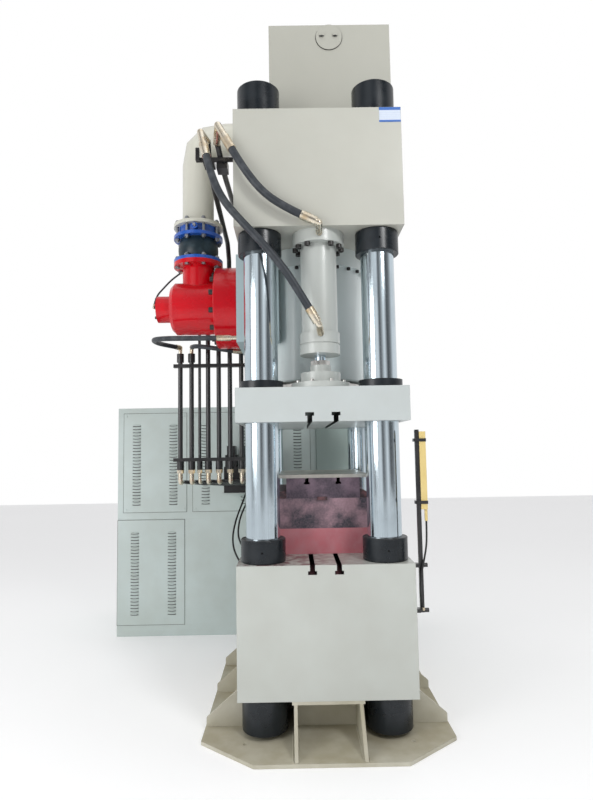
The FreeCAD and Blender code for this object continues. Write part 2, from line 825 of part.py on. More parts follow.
def prefill_screws():
    """Screws of the housing and the pilot cap."""
    pieces = []
    z = valve_axis_z
    for y, dz in prefill_screw_points:
        head = along_x(housing_left - 32, housing_left, y, z + dz, 18)
        head = head.cut(along_x(housing_left - 33, housing_left - 16, y, z + dz, 10))
        pieces.append(head.fuse(along_x(housing_left, block_left + 36, y, z + dz, 11)))
    for y, dz in pilot_screw_points:
        pieces.append(along_x(cap_left - 13, cap_left, y, z + dz, 10))
    return group(pieces)


# ---------------------------------------------------------------- pipework
def riser_pipes():
    """Seven upright pipes with their lower union sleeves."""
    y, r = riser_y, riser_radius
    x = riser_x
    bend = 70.0
    paths = [
        [(x[0], y, riser_low), (x[0], y, 2300)],
        [(x[1], y, riser_low), (x[1], y, 2300)],
        [(x[2], y, riser_low), (x[2], y, valve_axis_z), (x[2], 170, valve_axis_z)],
        [(x[3], y, riser_low), (x[3], y, valve_axis_z - 50), (x[3], 166, valve_axis_z - 50)],
        [(x[4], y, riser_low), (x[4], y, valve_axis_z), (x[4], 170, valve_axis_z)],
        [(x[5], y, riser_low), (x[5], y, 3080), (-650, 330, 3190), (-672, -270, 3350), (-672, -470, 3420), (-670, -550, 3530)],
        [(x[6], y, riser_low), (x[6], y, 3330), (-572, 200, 3372), (-588, -460, 3384), (-612, -556, 3510)],
    ]
    pieces = []
    shell = along_x(elbow_left, housing_left, 0, valve_axis_z, elbow_radius)
    for i, path in enumerate(paths):
        radius = 11.0 if i == 2 else r
        pipe = tube(path, radius, bend if len(path) > 2 else 0.0)
        if i in (2, 3, 4):
            pipe = pipe.cut(shell)
        pieces.append(pipe)
        sleeve = ring(x[i], y, sleeve_low, clamp_low, radius + 9, radius + seat_fit)
        pieces.append(sleeve)
    for i in (0, 1):
        sleeve = ring(x[i], y, 2286, 2352, 27, r + seat_fit)
        pieces.append(sleeve)
    return group(pieces)


def pipe_fittings():
    """Bright unions: seven lower elbows and the two upper ones."""
    pieces = []
    for i, x in enumerate(riser_x):
        size = 34.0 if i == 2 else 46.0
        throat = 8.0 if i == 2 else 13.0
        elbow = tube([(x, riser_y, 1448), (x, riser_y, elbow_z), (x, riser_y + 62, elbow_z)], throat + 4, 30.0)
        nut = hexagon(x, riser_y, 1444, 1470, size)
        pieces.append(elbow.fuse(nut))
    return group(pieces)


def supply_pipes():
    """Pipes from the elbows to the manifold."""
    pieces = []
    for i, x in enumerate(riser_x):
        start = riser_y + 62
        port = manifold_port_x[i]
        radius = 11.0 if i == 2 else 15.0
        path = [(x, start, elbow_z), (x, start + 70 + 12 * i, elbow_z)]
        path += [(port, manifold_front - 90, manifold_port_z), (port, manifold_front, manifold_port_z)]
        pieces.append(tube(path, radius, 60.0))
    return group(pieces)


def pipe_supports():
    """Clamp bars of the risers, their hanger, and the bracket of the hose elbows."""
    bars = []
    for z0, right in ((clamp_low, -530.0), (clamp_high, -440.0)):
        plate = box(-1075, right, riser_y - 22, riser_y + 22, z0, z0 + 26)
        for i, x in enumerate(riser_x):
            radius = 11.0 if i == 2 else riser_radius
            plate = plate.cut(post(x, riser_y, z0 - 1, z0 + 27, radius + seat_fit))
        bars.append(plate)
    bars.append(box(-470, -446, 230, riser_y - 22, clamp_high, valve_axis_z - 290))
    wall = -block_width / 2.0
    bars.append(box(wall - 12, wall, -575, -525, 3328, 3546))
    bars.append(box(-745, wall - 12, -536, -522, 3398, 3424))
    bars.append(box(-745, -722, -560, -536, 3398, 3475))
    pipes = riser_pipes()
    bars.append(box(-704, -636, -522, -430, 3396, 3432).cut(pipes))
    bars.append(box(-622, -554, -522, -430, 3362, 3420).cut(pipes))
    return group(bars)


def manifold_shelf():
    """Shelf in front of the power unit, with its gussets."""
    rear = unit_front - panel_skin
    shelf = box(-770, -380, 930, rear, shelf_top - 12, shelf_top)
    profile = [(rear, shelf_top - 12), (980, shelf_top - 12), (rear, shelf_top - 192)]
    web = plate_yz(profile, -600, -588)
    web_right = plate_yz(profile, -480, -468)
    return shelf.fuse(web).fuse(web_right)


def valve_manifold():
    """Drilled manifold block and the solenoid valves on it."""
    pieces = [box(-765, -395, manifold_front, 1180, shelf_top, manifold_top)]
    for x in (-756, -626, -496):
        pieces.append(box(x, x + 96, 970, 1160, manifold_top, coil_low))
        pieces.append(box(x + 14, x + 82, 985, 1145, coil_low, coil_high))
    return group(pieces)


# ---------------------------------------------------------------- hoses
upper_hose_path = [
    (-502, -740, 3366),
    (-434, -764, 3236),
    (-322, -758, 3092),
    (-198, -756, 3006),
    (-106, -752, 2962),
]
lower_hose_path = [
    (-664, -650, 3373),
    (-628, -690, 3222),
    (-552, -740, 3052),
    (-450, -762, 2925),
    (-328, -764, 2792),
    (-206, -758, 2642),
    (-122, -744, 2508),
    (-68, -728, 2418),
]
loop_hose_path = [
    (-660, -252, 2346),
    (-820, -252, 2346),
    (-980, -230, 2352),
    (-1095, -125, 2368),
    (-1140, 25, 2385),
    (-1143, 180, 2397),
    (-1113, 283, 2402),
    (-1052, 363, 2401),
]
short_hose_path = [
    (-928, 366, 2398),
    (-900, 262, 2388),
    (-806, 180, 2366),
    (-690, 168, 2345),
    (-604, 196, 2337),
]
pilot_hose_path = [
    (-952, 20, 2864),
    (-1006, 14, 2824),
    (-1064, 6, 2758),
    (-1117, 2, 2697),
    (-1128, 0, 2642),
]
outer_cable_path = [
    (-560, 935, 1285),
    (-560, 855, 1285),
    (-590, 755, 1190),
    (-634, 635, 1070),
    (-652, 505, 940),
    (-618, 395, 835),
    (-560, 325, 775),
]
inner_cable_path = [
    (-510, 935, 1285),
    (-510, 855, 1285),
    (-556, 765, 1190),
    (-602, 650, 1085),
    (-612, 530, 975),
    (-578, 430, 905),
    (-540, 365, 870),
]
lead_path = [
    (581, -640, 1196),
    (581, -640, 1125),
    (572, -660, 1055),
    (554, -669, 980),
    (536, -670, 905),
    (527, -670, 835),
    (532, -669, 765),
    (541, -668, 722),
]


def fitting(end, inner, ferrule, neck, port, seat, stub=0.0):
    """Crimped ferrule, neck, knee and leg into a port, as one piece.

    ferrule and neck are (radius, length); the leg keeps the radius of the neck.
    seat is the shape that the leg stands on, and stub the radius of its spigot.
    """
    tip = vec(*end)
    back = tip - vec(*inner)
    back.normalize()
    joint = tip + back * ferrule[1]
    knee = joint + back * neck[1]
    radius = neck[0]
    shape = Part.makeCylinder(ferrule[0], ferrule[1], tip, back)
    shape = shape.fuse(Part.makeCylinder(radius, neck[1], joint, back))
    shape = shape.fuse(Part.makeSphere(radius, knee))
    leg = vec(*port) - knee
    shape = shape.fuse(Part.makeCylinder(radius * 0.97, leg.Length, knee, leg))
    shape = shape.cut(seat)
    if stub:
        leg.normalize()
        shape = shape.fuse(Part.makeCylinder(stub, 14, vec(*port) - leg * 3, leg))
    return shape


def hose_fittings():
    """End fittings of the hoses and cables."""
    front = -aux_y - aux_flange_radius
    low_front = -aux_y - aux_collar_radius
    base_side = -block_width / 2.0
    sleeve_top = 2352
    pipes = riser_pipes()
    screw_in = port_radius - 6.0
    flange = post(0, -aux_y, 2700, 3000, aux_flange_radius)
    collar = post(0, -aux_y, 2100, 2400, aux_collar_radius)
    block_side = box(block_left, block_left + 50, -300, 300, 2200, 2500)
    sleeves = box(-1100, -850, 300, 500, 2300, sleeve_top)
    neck = post(pipe_axis_x, 0, 2700, 2889, pipe_radius)
    cap = along_x(cap_left, cap_left + 50, 0, valve_axis_z, 92)
    base = box(base_side, base_side + 50, 0, 600, 600, 960)
    post_face = box(500, 552, post_y - 12, post_y + 12, 690, 760)
    pieces = []
    a = upper_hose_path
    pieces.append(fitting(a[0], a[1], (27, 95), (22, 90), (-613, -562, 3496), pipes))
    pieces.append(fitting(a[-1], a[-2], (27, 95), (20, 20), (0, front, port_high), flange, screw_in))
    b = lower_hose_path
    pieces.append(fitting(b[0], b[1], (27, 95), (22, 90), (-670, -541, 3516), pipes))
    pieces.append(fitting(b[-1], b[-2], (27, 92), (20, 20), (0, low_front, port_low), collar, screw_in))
    c = loop_hose_path
    pieces.append(fitting(c[0], c[1], (20, 92), (15, 10), (block_left, c[0][1], c[0][2]), block_side, 9.0))
    pieces.append(fitting(c[-1], c[-2], (20, 36), (15, 10), (riser_x[0], riser_y, sleeve_top), sleeves, 15.0))
    d = short_hose_path
    pieces.append(fitting(d[0], d[1], (19, 26), (15, 10), (riser_x[1], riser_y, sleeve_top), sleeves, 15.0))
    pieces.append(fitting(d[-1], d[-2], (19, 50), (14, 10), (block_left, 221, 2331), block_side, 5.0))
    e = pilot_hose_path
    pieces.append(fitting(e[0], e[1], (9, 8), (8, 4), (-926, 22, 2869), neck))
    pieces.append(fitting(e[-1], e[-2], (9, 14), (9, 12), (cap_left, 0, 2606), cap))
    for path, z in ((outer_cable_path, 741), (inner_cable_path, 858)):
        pieces.append(bar((path[0][0], manifold_front, path[0][2]), path[0], 11))
        y = path[-1][1] - 30
        pieces.append(fitting(path[-1], path[-2], (11, 16), (11, 6), (base_side + 2, y, z), base))
    f = lead_path
    pieces.append(fitting(f[-1], f[-2], (8, 8), (7, 4), (543, post_y - 10, 705), post_face))
    return group(pieces)


# ---------------------------------------------------------------- light curtain


def curtain_post():
    """Post, its two arms from the base block, and the clamps of the bar."""
    pieces = [box(530, 552, post_y - 12, post_y + 12, 690, 1716)]
    half = block_width / 2.0
    for z in (949, 700):
        arm = box(half, 530, post_y - 20, post_y + 20, z - 10, z + 10)
        knob = along_x(552, 578, post_y, z, 12)
        pieces += [arm, knob]
    for z in (1656, 1302):
        clamp = box(519, 590, post_y - 24, post_y - 20, z - 9, z + 9)
        clamp = clamp.fuse(box(519, 530, post_y - 24, post_y + 12, z - 9, z + 9))
        pieces.append(clamp)
    return group(pieces)


def curtain_bar():
    """Light curtain housing with its end cap and connector."""
    body = box(552, 588, post_y - 20, post_y + 18, 1262, 1705)
    plug = post(581, post_y, 1196, 1262, 9)
    return group([body, plug])


# ---------------------------------------------------------------- power unit
def tank_base():
    """Oil tank on its plinth."""
    wall = 5.0
    rear = unit_front + unit_depth
    plinth = box(unit_left, unit_right, unit_front, rear, 0, plinth_height)
    tank = box(unit_left, unit_right, unit_front, rear, plinth_height, tank_height)
    hollow = box(unit_left + wall, unit_right - wall, unit_front + wall, rear - wall,
                 plinth_height + wall, tank_height - wall)
    return group([plinth, tank.cut(hollow)])


def upper_enclosure():
    """Sheet housing over the pump set, and the shelf of the valve manifold."""
    wall = 3.0
    rear = unit_front + unit_depth
    outer = box(unit_left, unit_right, unit_front, rear, tank_height, unit_height)
    hollow = box(unit_left + wall, unit_right - wall, unit_front + wall, rear - wall,
                 tank_height - 1, unit_height - wall)
    return group([outer.cut(hollow), manifold_shelf()])


def louvred_panel(span, z0, z1, columns_x, low, count):
    """Sheet panel with rows of louvre slots and four quarter-turn locks."""
    panel = box(span[0], span[1], unit_front - panel_skin, unit_front, z0, z1)
    slots = []
    for x in columns_x:
        for i in range(count):
            z = low + i * louvre_pitch
            slots.append(box(x - louvre_width / 2, x + louvre_width / 2,
                             unit_front - panel_skin - 1, unit_front + 1, z, z + louvre_gap))
    return panel.cut(group(slots))


def louvre_panels():
    """All louvred panels and their locks."""
    pieces = []
    for span, columns_x in zip(panel_spans, louvre_columns):
        pieces.append(louvred_panel(span, panel_low, panel_high, columns_x, 1133, 26))
        for x in (span[0] + 24, span[1] - 24):
            for z in (panel_low + 24, panel_high - 24):
                pieces.append(bar((x, unit_front - panel_skin, z), (x, unit_front - panel_skin - 5, z), 9))
    pieces.append(louvred_panel(lower_span, 96, 1004, lower_columns, 180, 26))
    return group(pieces)


def electric_cabinet():
    """Control cabinet and its plain door."""
    body = box(cabinet_left, cabinet_right, unit_front, unit_front + 500, 0, unit_height)
    hollow = box(cabinet_left + 3, cabinet_right - 3, unit_front - 1, unit_front + 497, 100, unit_height - 30)
    door = box(cabinet_left + 4, cabinet_right - 4, unit_front - 20, unit_front, 104, unit_height - 4)
    return group([body.cut(hollow), door])


def pump_set():
    """Motor and piston pump on the tank lid."""
    y = unit_front + 450
    z = tank_height + 180
    pieces = [along_x(-1500, -1000, y, z, 130)]
    pieces.append(box(-1450, -1050, y - 120, y + 120, tank_height, z - 120))
    pieces.append(along_x(-1000, -940, y, z, 60))
    pieces.append(along_x(-940, -700, y, z, 95))
    pieces.append(box(-900, -740, y - 70, y + 70, tank_height, z - 85))
    body = pieces[0]
    for piece in pieces[1:]:
        body = body.fuse(piece)
    return body


def rating_plate():
    """Blank plate on the crown."""
    y = -block_depth / 2.0
    return box(370, 498, y - 2, y, 3542, 3633)


nodes = {
    "foot_plate": foot_plate,
    "foot_frame": foot_frame,
    "foot_bolts": foot_bolts,
    "base_block": base_block,
    "crown_block": crown_block,
    "columns": columns,
    "outer_nuts": outer_nuts,
    "inner_nuts": inner_nuts,
    "main_cylinder": main_cylinder,
    "main_gland": main_gland,
    "return_cylinders": return_cylinders,
    "return_glands": return_glands,
    "cylinder_screws": cylinder_screws,
    "moving_beam": moving_beam,
    "guide_bushes": guide_bushes,
    "main_ram": main_ram,
    "return_rods": return_rods,
    "rod_bosses": rod_bosses,
    "slide_fasteners": slide_fasteners,
    "bolster_block": bolster_block,
    "die_lower_block": die_lower_block,
    "die_upper_block": die_upper_block,
    "die_clamps": die_clamps,
    "die_cover_plate": die_cover_plate,
    "top_tank": top_tank,
    "tank_cover": tank_cover,
    "feed_pipe": feed_pipe,
    "butterfly_body": butterfly_body,
    "butterfly_disc": butterfly_disc,
    "joint_flanges": joint_flanges,
    "expansion_joint": expansion_joint,
    "flange_studs": flange_studs,
    "prefill_elbow": prefill_elbow,
    "prefill_housing": prefill_housing,
    "valve_block": valve_block,
    "pilot_cap": pilot_cap,
    "prefill_poppet": prefill_poppet,
    "prefill_screws": prefill_screws,
    "riser_pipes": riser_pipes,
    "pipe_fittings": pipe_fittings,
    "supply_pipes": supply_pipes,
    "pipe_supports": pipe_supports,
    "valve_manifold": valve_manifold,
    "hose_fittings": hose_fittings,
    "upper_hose": lambda: hose("upper_hose", upper_hose_path, pressure_hose),
    "lower_hose": lambda: hose("lower_hose", lower_hose_path, pressure_hose),
    "loop_hose": lambda: hose("loop_hose", loop_hose_path, loop_hose_size),
    "short_hose": lambda: hose("short_hose", short_hose_path, loop_hose_size),
    "pilot_hose": lambda: hose("pilot_hose", pilot_hose_path, pilot_hose_size),
    "outer_cable": lambda: hose("outer_cable", outer_cable_path, cable_size),
    "inner_cable": lambda: hose("inner_cable", inner_cable_path, cable_size),
    "curtain_lead": lambda: hose("curtain_lead", lead_path, lead_size),
    "curtain_post": curtain_post,
    "curtain_bar": curtain_bar,
    "tank_base": tank_base,
    "upper_enclosure": upper_enclosure,
    "louvre_panels": louvre_panels,
    "electric_cabinet": electric_cabinet,
    "pump_set": pump_set,
    "rating_plate": rating_plate,
}

os.makedirs("parts", exist_ok=True)
for name, build in nodes.items():
    shape = build()
    if not shape.isValid():
        print("not valid:", name)
    shape.exportStep("parts/" + name + ".step")
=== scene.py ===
"""Looks of a four-column hydraulic press with its top tank, prefill valve, hoses and power unit."""

import logging
import math
from dataclasses import dataclass, field
from enum import Enum
from typing import Optional, Sequence

import bpy
from mathutils import Matrix, Vector


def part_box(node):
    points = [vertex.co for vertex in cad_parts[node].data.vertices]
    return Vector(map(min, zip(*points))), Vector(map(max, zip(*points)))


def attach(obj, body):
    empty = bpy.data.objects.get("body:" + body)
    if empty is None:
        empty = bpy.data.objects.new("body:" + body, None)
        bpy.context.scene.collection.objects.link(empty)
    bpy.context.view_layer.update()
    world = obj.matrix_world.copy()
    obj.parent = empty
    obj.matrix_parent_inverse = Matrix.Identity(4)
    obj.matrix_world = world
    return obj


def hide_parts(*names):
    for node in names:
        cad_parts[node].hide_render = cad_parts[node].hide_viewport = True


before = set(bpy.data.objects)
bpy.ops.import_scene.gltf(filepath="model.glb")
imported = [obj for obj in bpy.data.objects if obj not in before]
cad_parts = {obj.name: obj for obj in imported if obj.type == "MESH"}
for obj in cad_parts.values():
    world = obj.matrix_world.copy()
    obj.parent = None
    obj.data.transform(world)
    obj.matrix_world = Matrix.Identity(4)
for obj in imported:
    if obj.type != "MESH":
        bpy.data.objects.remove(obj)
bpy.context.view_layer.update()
LOG = logging.getLogger("press")

Colour = tuple[float, float, float]
Point = tuple[float, float, float]


class Lay(Enum):
    """How a hose or cable lies between its two ends."""

    HANGING = "hanging"
    TAUT = "taut"


class Stiffness(Enum):
    """How readily a hose or cable bends."""

    MEDIUM = "medium"
    STIFF = "stiff"


def rgba(colour: Colour) -> tuple[float, float, float, float]:
    """Returns a colour with full alpha."""
    return (*colour, 1.0)


class Graph:
    """Adds and wires nodes in one node tree."""

    def __init__(self, tree: bpy.types.NodeTree) -> None:
        """Keeps the tree.

        Args:
            tree: shader or geometry tree that the nodes go in.
        """
        self.tree = tree

    def add(self, kind: str, inputs: Optional[dict] = None, **settings: object) -> bpy.types.Node:
        """Adds one node.

        Args:
            kind: node type name.
            inputs: input name or index to a value, or to an output socket to link.
            settings: node attributes.

        Returns:
            The node.
        """
        node = self.tree.nodes.new(kind)
        for name, value in settings.items():
            setattr(node, name, value)
        for key, value in (inputs or {}).items():
            if isinstance(value, bpy.types.NodeSocket):
                self.tree.links.new(value, node.inputs[key])
            else:
                node.inputs[key].default_value = value
        return node

    def math(self, operation: str, first: object, second: object = 0.0) -> bpy.types.NodeSocket:
        """Returns the result of a two-value sum, clamped to no range."""
        return self.add("ShaderNodeMath", {0: first, 1: second}, operation=operation).outputs[0]

    def mix(self, amount: object, low: object, high: object) -> bpy.types.NodeSocket:
        """Returns a colour between low and high."""
        node = self.add("ShaderNodeMix", {0: amount, 6: low, 7: high}, data_type="RGBA")
        return node.outputs[2]

    def ramp(self, value: object, low: float, high: float) -> bpy.types.NodeSocket:
        """Returns value stretched so that low is 0 and high is 1."""
        node = self.add("ShaderNodeMapRange", {0: value, 1: low, 2: high})
        return node.outputs[0]

    def noise(self, place: object, scale: object, detail: float = 3.0) -> bpy.types.NodeSocket:
        """Returns cloudy noise from 0 to 1."""
        node = self.add("ShaderNodeTexNoise", {"Vector": place, "Scale": scale, "Detail": detail})
        return node.outputs[0]


def shader_group(name: str, inputs: dict[str, tuple[str, object]], outputs: dict[str, str]) -> tuple:
    """Starts a shader node group with named sockets.

    Args:
        name: name of the group.
        inputs: socket name to its type and default.
        outputs: socket name to its type.

    Returns:
        The tree, its graph, its input node and its output node.
    """
    tree = bpy.data.node_groups.new(name, "ShaderNodeTree")
    for label, (kind, default) in inputs.items():
        socket = tree.interface.new_socket(name=label, in_out="INPUT", socket_type=kind)
        socket.default_value = default
    for label, kind in outputs.items():
        tree.interface.new_socket(name=label, in_out="OUTPUT", socket_type=kind)
    graph = Graph(tree)
    return tree, graph, graph.add("NodeGroupInput"), graph.add("NodeGroupOutput")


FLOAT = "NodeSocketFloat"
COLOUR = "NodeSocketColor"


class Effects:
    """Shader groups that the finishes share."""

    def __init__(self) -> None:
        """Builds every group once."""
        self.mottle = self._mottle()
        self.dust = self._dust()
        self.wear = self._wear()
        self.streaks = self._streaks()
        self.slots = self._slot_shade()

    def _mottle(self) -> bpy.types.NodeTree:
        """Returns the group that varies a sprayed coat: cloudy tint, fine grain and orange peel."""
        tree, g, gin, gout = shader_group(
            "sprayed_coat",
            {"Base": (COLOUR, (0.5, 0.5, 0.5, 1)), "Tint": (COLOUR, (0.4, 0.4, 0.4, 1)),
             "Cloud Scale": (FLOAT, 2.5), "Amount": (FLOAT, 0.5), "Roughness": (FLOAT, 0.4)},
            {"Color": COLOUR, "Roughness": FLOAT, "Height": FLOAT})
        place = g.add("ShaderNodeTexCoord").outputs["Object"]
        cloud = g.ramp(g.noise(place, gin.outputs["Cloud Scale"], 4.0), 0.35, 0.68)
        speck = g.ramp(g.noise(place, 160.0, 2.0), 0.3, 0.75)
        share = g.math("MULTIPLY", cloud, gin.outputs["Amount"])
        share = g.math("ADD", share, g.math("MULTIPLY", speck, 0.06))
        colour = g.mix(share, gin.outputs["Base"], gin.outputs["Tint"])
        g.tree.links.new(colour, gout.inputs["Color"])
        change = g.math("MULTIPLY", g.math("SUBTRACT", cloud, 0.5), 0.14)
        g.tree.links.new(g.math("ADD", gin.outputs["Roughness"], change), gout.inputs["Roughness"])
        peel = g.math("ADD", g.noise(place, 420.0, 1.0), g.math("MULTIPLY", g.noise(place, 30.0, 2.0), 1.5))
        g.tree.links.new(peel, gout.inputs["Height"])
        return tree

    def _dust(self) -> bpy.types.NodeTree:
        """Returns the group that lays dust or oil film on upward faces, thicker in patches."""
        tree, g, gin, gout = shader_group(
            "settled_dust",
            {"Color": (COLOUR, (0.5, 0.5, 0.5, 1)), "Dust": (COLOUR, (0.4, 0.35, 0.3, 1)),
             "On Top": (FLOAT, 0.4), "On Sides": (FLOAT, 0.05), "Scale": (FLOAT, 9.0)},
            {"Color": COLOUR, "Mask": FLOAT})
        place = g.add("ShaderNodeTexCoord").outputs["Object"]
        facing = g.add("ShaderNodeSeparateXYZ", {0: g.add("ShaderNodeNewGeometry").outputs["Normal"]})
        up = g.ramp(facing.outputs[2], 0.3, 0.9)
        amount = g.math("ADD", g.math("MULTIPLY", up, gin.outputs["On Top"]), gin.outputs["On Sides"])
        patch = g.ramp(g.noise(place, gin.outputs["Scale"], 6.0), 0.32, 0.66)
        mask = g.add("ShaderNodeClamp", {0: g.math("MULTIPLY", amount, patch)}).outputs[0]
        g.tree.links.new(g.mix(mask, gin.outputs["Color"], gin.outputs["Dust"]), gout.inputs["Color"])
        g.tree.links.new(mask, gout.inputs["Mask"])
        return tree

    def _wear(self) -> bpy.types.NodeTree:
        """Returns the group that finds rubbed edges and gives them a small radius."""
        tree, g, gin, gout = shader_group(
            "rubbed_edges",
            {"Radius": (FLOAT, 0.003), "Amount": (FLOAT, 0.6), "Scale": (FLOAT, 40.0)},
            {"Mask": FLOAT, "Normal": "NodeSocketVector"})
        place = g.add("ShaderNodeTexCoord").outputs["Object"]
        soft = g.add("ShaderNodeBevel", {"Radius": gin.outputs["Radius"]}, samples=4).outputs[0]
        flat = g.add("ShaderNodeNewGeometry").outputs["Normal"]
        turn = g.add("ShaderNodeVectorMath", {0: soft, 1: flat}, operation="DOT_PRODUCT").outputs["Value"]
        edge = g.ramp(g.math("SUBTRACT", 1.0, turn), 0.02, 0.22)
        chip = g.ramp(g.noise(place, gin.outputs["Scale"], 5.0), 0.42, 0.6)
        mask = g.math("MULTIPLY", g.math("MULTIPLY", edge, chip), gin.outputs["Amount"])
        g.tree.links.new(mask, gout.inputs["Mask"])
        g.tree.links.new(soft, gout.inputs["Normal"])
        return tree

    def _streaks(self) -> bpy.types.NodeTree:
        """Returns the group for fine lines drawn out along one axis, as on ground or wiped steel."""
        tree, g, gin, gout = shader_group(
            "drawn_lines",
            {"Across": ("NodeSocketVector", (300.0, 300.0, 2.0)), "Low": (FLOAT, 0.1), "High": (FLOAT, 0.3)},
            {"Value": FLOAT, "Roughness": FLOAT})
        place = g.add("ShaderNodeTexCoord").outputs["Object"]
        spread = g.add("ShaderNodeVectorMath", {0: place, 1: gin.outputs["Across"]}, operation="MULTIPLY")
        line = g.ramp(g.noise(spread.outputs[0], 1.0, 4.0), 0.3, 0.7)
        g.tree.links.new(line, gout.inputs["Value"])
        rough = g.add("ShaderNodeMapRange", {0: line, 3: gin.outputs["Low"], 4: gin.outputs["High"]})
        g.tree.links.new(rough.outputs[0], gout.inputs["Roughness"])
        return tree


    def _slot_shade(self) -> bpy.types.NodeTree:
        """Returns the group that paints shade, near black, inside both pairs of T-slots."""
        tree, g, gin, gout = shader_group(
            "painted_slot_shade",
            {"Color": (COLOUR, (0.5, 0.5, 0.5, 1)), "Slot X": (FLOAT, 0.075), "Half Width": (FLOAT, 0.0256),
             "Half Depth": (FLOAT, 0.6992), "Low": (FLOAT, 0.9165), "High": (FLOAT, 0.9695)},
            {"Color": COLOUR, "Mask": FLOAT})
        split = g.add("ShaderNodeSeparateXYZ", {0: g.add("ShaderNodeTexCoord").outputs["Object"]})
        away = g.math("ABSOLUTE", g.math("SUBTRACT", g.math("ABSOLUTE", split.outputs[0]), gin.outputs["Slot X"]))
        mask = g.math("LESS_THAN", away, gin.outputs["Half Width"])
        inside = g.math("LESS_THAN", g.math("ABSOLUTE", split.outputs[1]), gin.outputs["Half Depth"])
        mask = g.math("MULTIPLY", mask, inside)
        mask = g.math("MULTIPLY", mask, g.math("GREATER_THAN", split.outputs[2], gin.outputs["Low"]))
        mask = g.math("MULTIPLY", mask, g.math("LESS_THAN", split.outputs[2], gin.outputs["High"]))
        # Painted shade: the inside of the T-slots is coloured near black.
        g.tree.links.new(g.mix(mask, gin.outputs["Color"], (0.008, 0.007, 0.007, 1)), gout.inputs["Color"])
        g.tree.links.new(mask, gout.inputs["Mask"])
        return tree


EFFECTS = Effects()


def start_material(name: str) -> tuple[bpy.types.Material, Graph, bpy.types.Node]:
    """Starts a material with one Principled shader.

    Args:
        name: name of the material.

    Returns:
        The material, its graph and its shader node.
    """
    material = bpy.data.materials.new(name)
    material.use_nodes = True
    graph = Graph(material.node_tree)
    return material, graph, material.node_tree.nodes["Principled BSDF"]


def place_group(graph: Graph, tree: bpy.types.NodeTree, inputs: dict) -> bpy.types.Node:
    """Returns a group node of the tree with its inputs set or linked."""
    node = graph.add("ShaderNodeGroup", node_tree=tree)
    for key, value in inputs.items():
        if isinstance(value, bpy.types.NodeSocket):
            graph.tree.links.new(value, node.inputs[key])
        else:
            node.inputs[key].default_value = value
    return node


@dataclass(frozen=True)
class Paint:
    """A sprayed paint, with its dust and rubbed edges."""

    name: str
    base: Colour
    tint: Colour
    rough: float = 0.42
    coat: float = 0.0
    amount: float = 0.55
    cloud: float = 2.5
    dust: Colour = (0.33, 0.28, 0.22)
    dust_top: float = 0.25
    dust_side: float = 0.03
    dust_scale: float = 7.0
    bare: Colour = (0.42, 0.40, 0.37)
    wear: float = 0.35
    radius: float = 0.003
    peel: float = 0.05
    specular: float = 0.5
    slots: Optional[tuple[float, float]] = None
    spill: Optional[Colour] = None

    def material(self) -> bpy.types.Material:
        """Returns the paint as a material."""
        material, g, shader = start_material(self.name)
        coat = place_group(g, EFFECTS.mottle, {
            "Base": rgba(self.base), "Tint": rgba(self.tint), "Cloud Scale": self.cloud,
            "Amount": self.amount, "Roughness": self.rough})
        dust = place_group(g, EFFECTS.dust, {
            "Color": coat.outputs["Color"], "Dust": rgba(self.dust), "On Top": self.dust_top,
            "On Sides": self.dust_side, "Scale": self.dust_scale})
        edge = place_group(g, EFFECTS.wear, {"Radius": self.radius, "Amount": self.wear})
        colour = g.mix(edge.outputs["Mask"], dust.outputs["Color"], rgba(self.bare))
        rough = g.math("ADD", coat.outputs["Roughness"], g.math("MULTIPLY", dust.outputs["Mask"], 0.35))
        if self.spill:
            colour = self._spilled(g, colour)
        # Painted shade in the T-slots, within the given height range.
        if self.slots:
            colour = place_group(g, EFFECTS.slots, {"Color": colour, "Low": self.slots[0],
                                                    "High": self.slots[1]}).outputs["Color"]
        bump = g.add("ShaderNodeBump", {"Strength": self.peel, "Distance": 0.002,
                                        "Height": coat.outputs["Height"], "Normal": edge.outputs["Normal"]})
        g.tree.links.new(colour, shader.inputs["Base Color"])
        g.tree.links.new(rough, shader.inputs["Roughness"])
        g.tree.links.new(bump.outputs[0], shader.inputs["Normal"])
        shader.inputs["Coat Weight"].default_value = self.coat
        shader.inputs["Coat Roughness"].default_value = 0.12
        shader.inputs["Specular IOR Level"].default_value = self.specular
        return material

    def _spilled(self, g: Graph, colour: bpy.types.NodeSocket) -> bpy.types.NodeSocket:
        """Lays moulding dust on upward faces, thickest towards the left.

        Args:
            g: graph of the material.
            colour: colour under the dust.

        Returns:
            The colour with the dust on it.
        """
        place = g.add("ShaderNodeTexCoord").outputs["Object"]
        facing = g.add("ShaderNodeSeparateXYZ", {0: g.add("ShaderNodeNewGeometry").outputs["Normal"]})
        left = g.ramp(g.add("ShaderNodeSeparateXYZ", {0: place}).outputs[0], 0.30, -0.22)
        patch = g.ramp(g.noise(place, 22.0, 6.0), 0.40, 0.62)
        share = g.math("MULTIPLY", g.math("MULTIPLY", left, patch), g.ramp(facing.outputs[2], 0.5, 0.9))
        return g.mix(share, colour, rgba(self.spill))


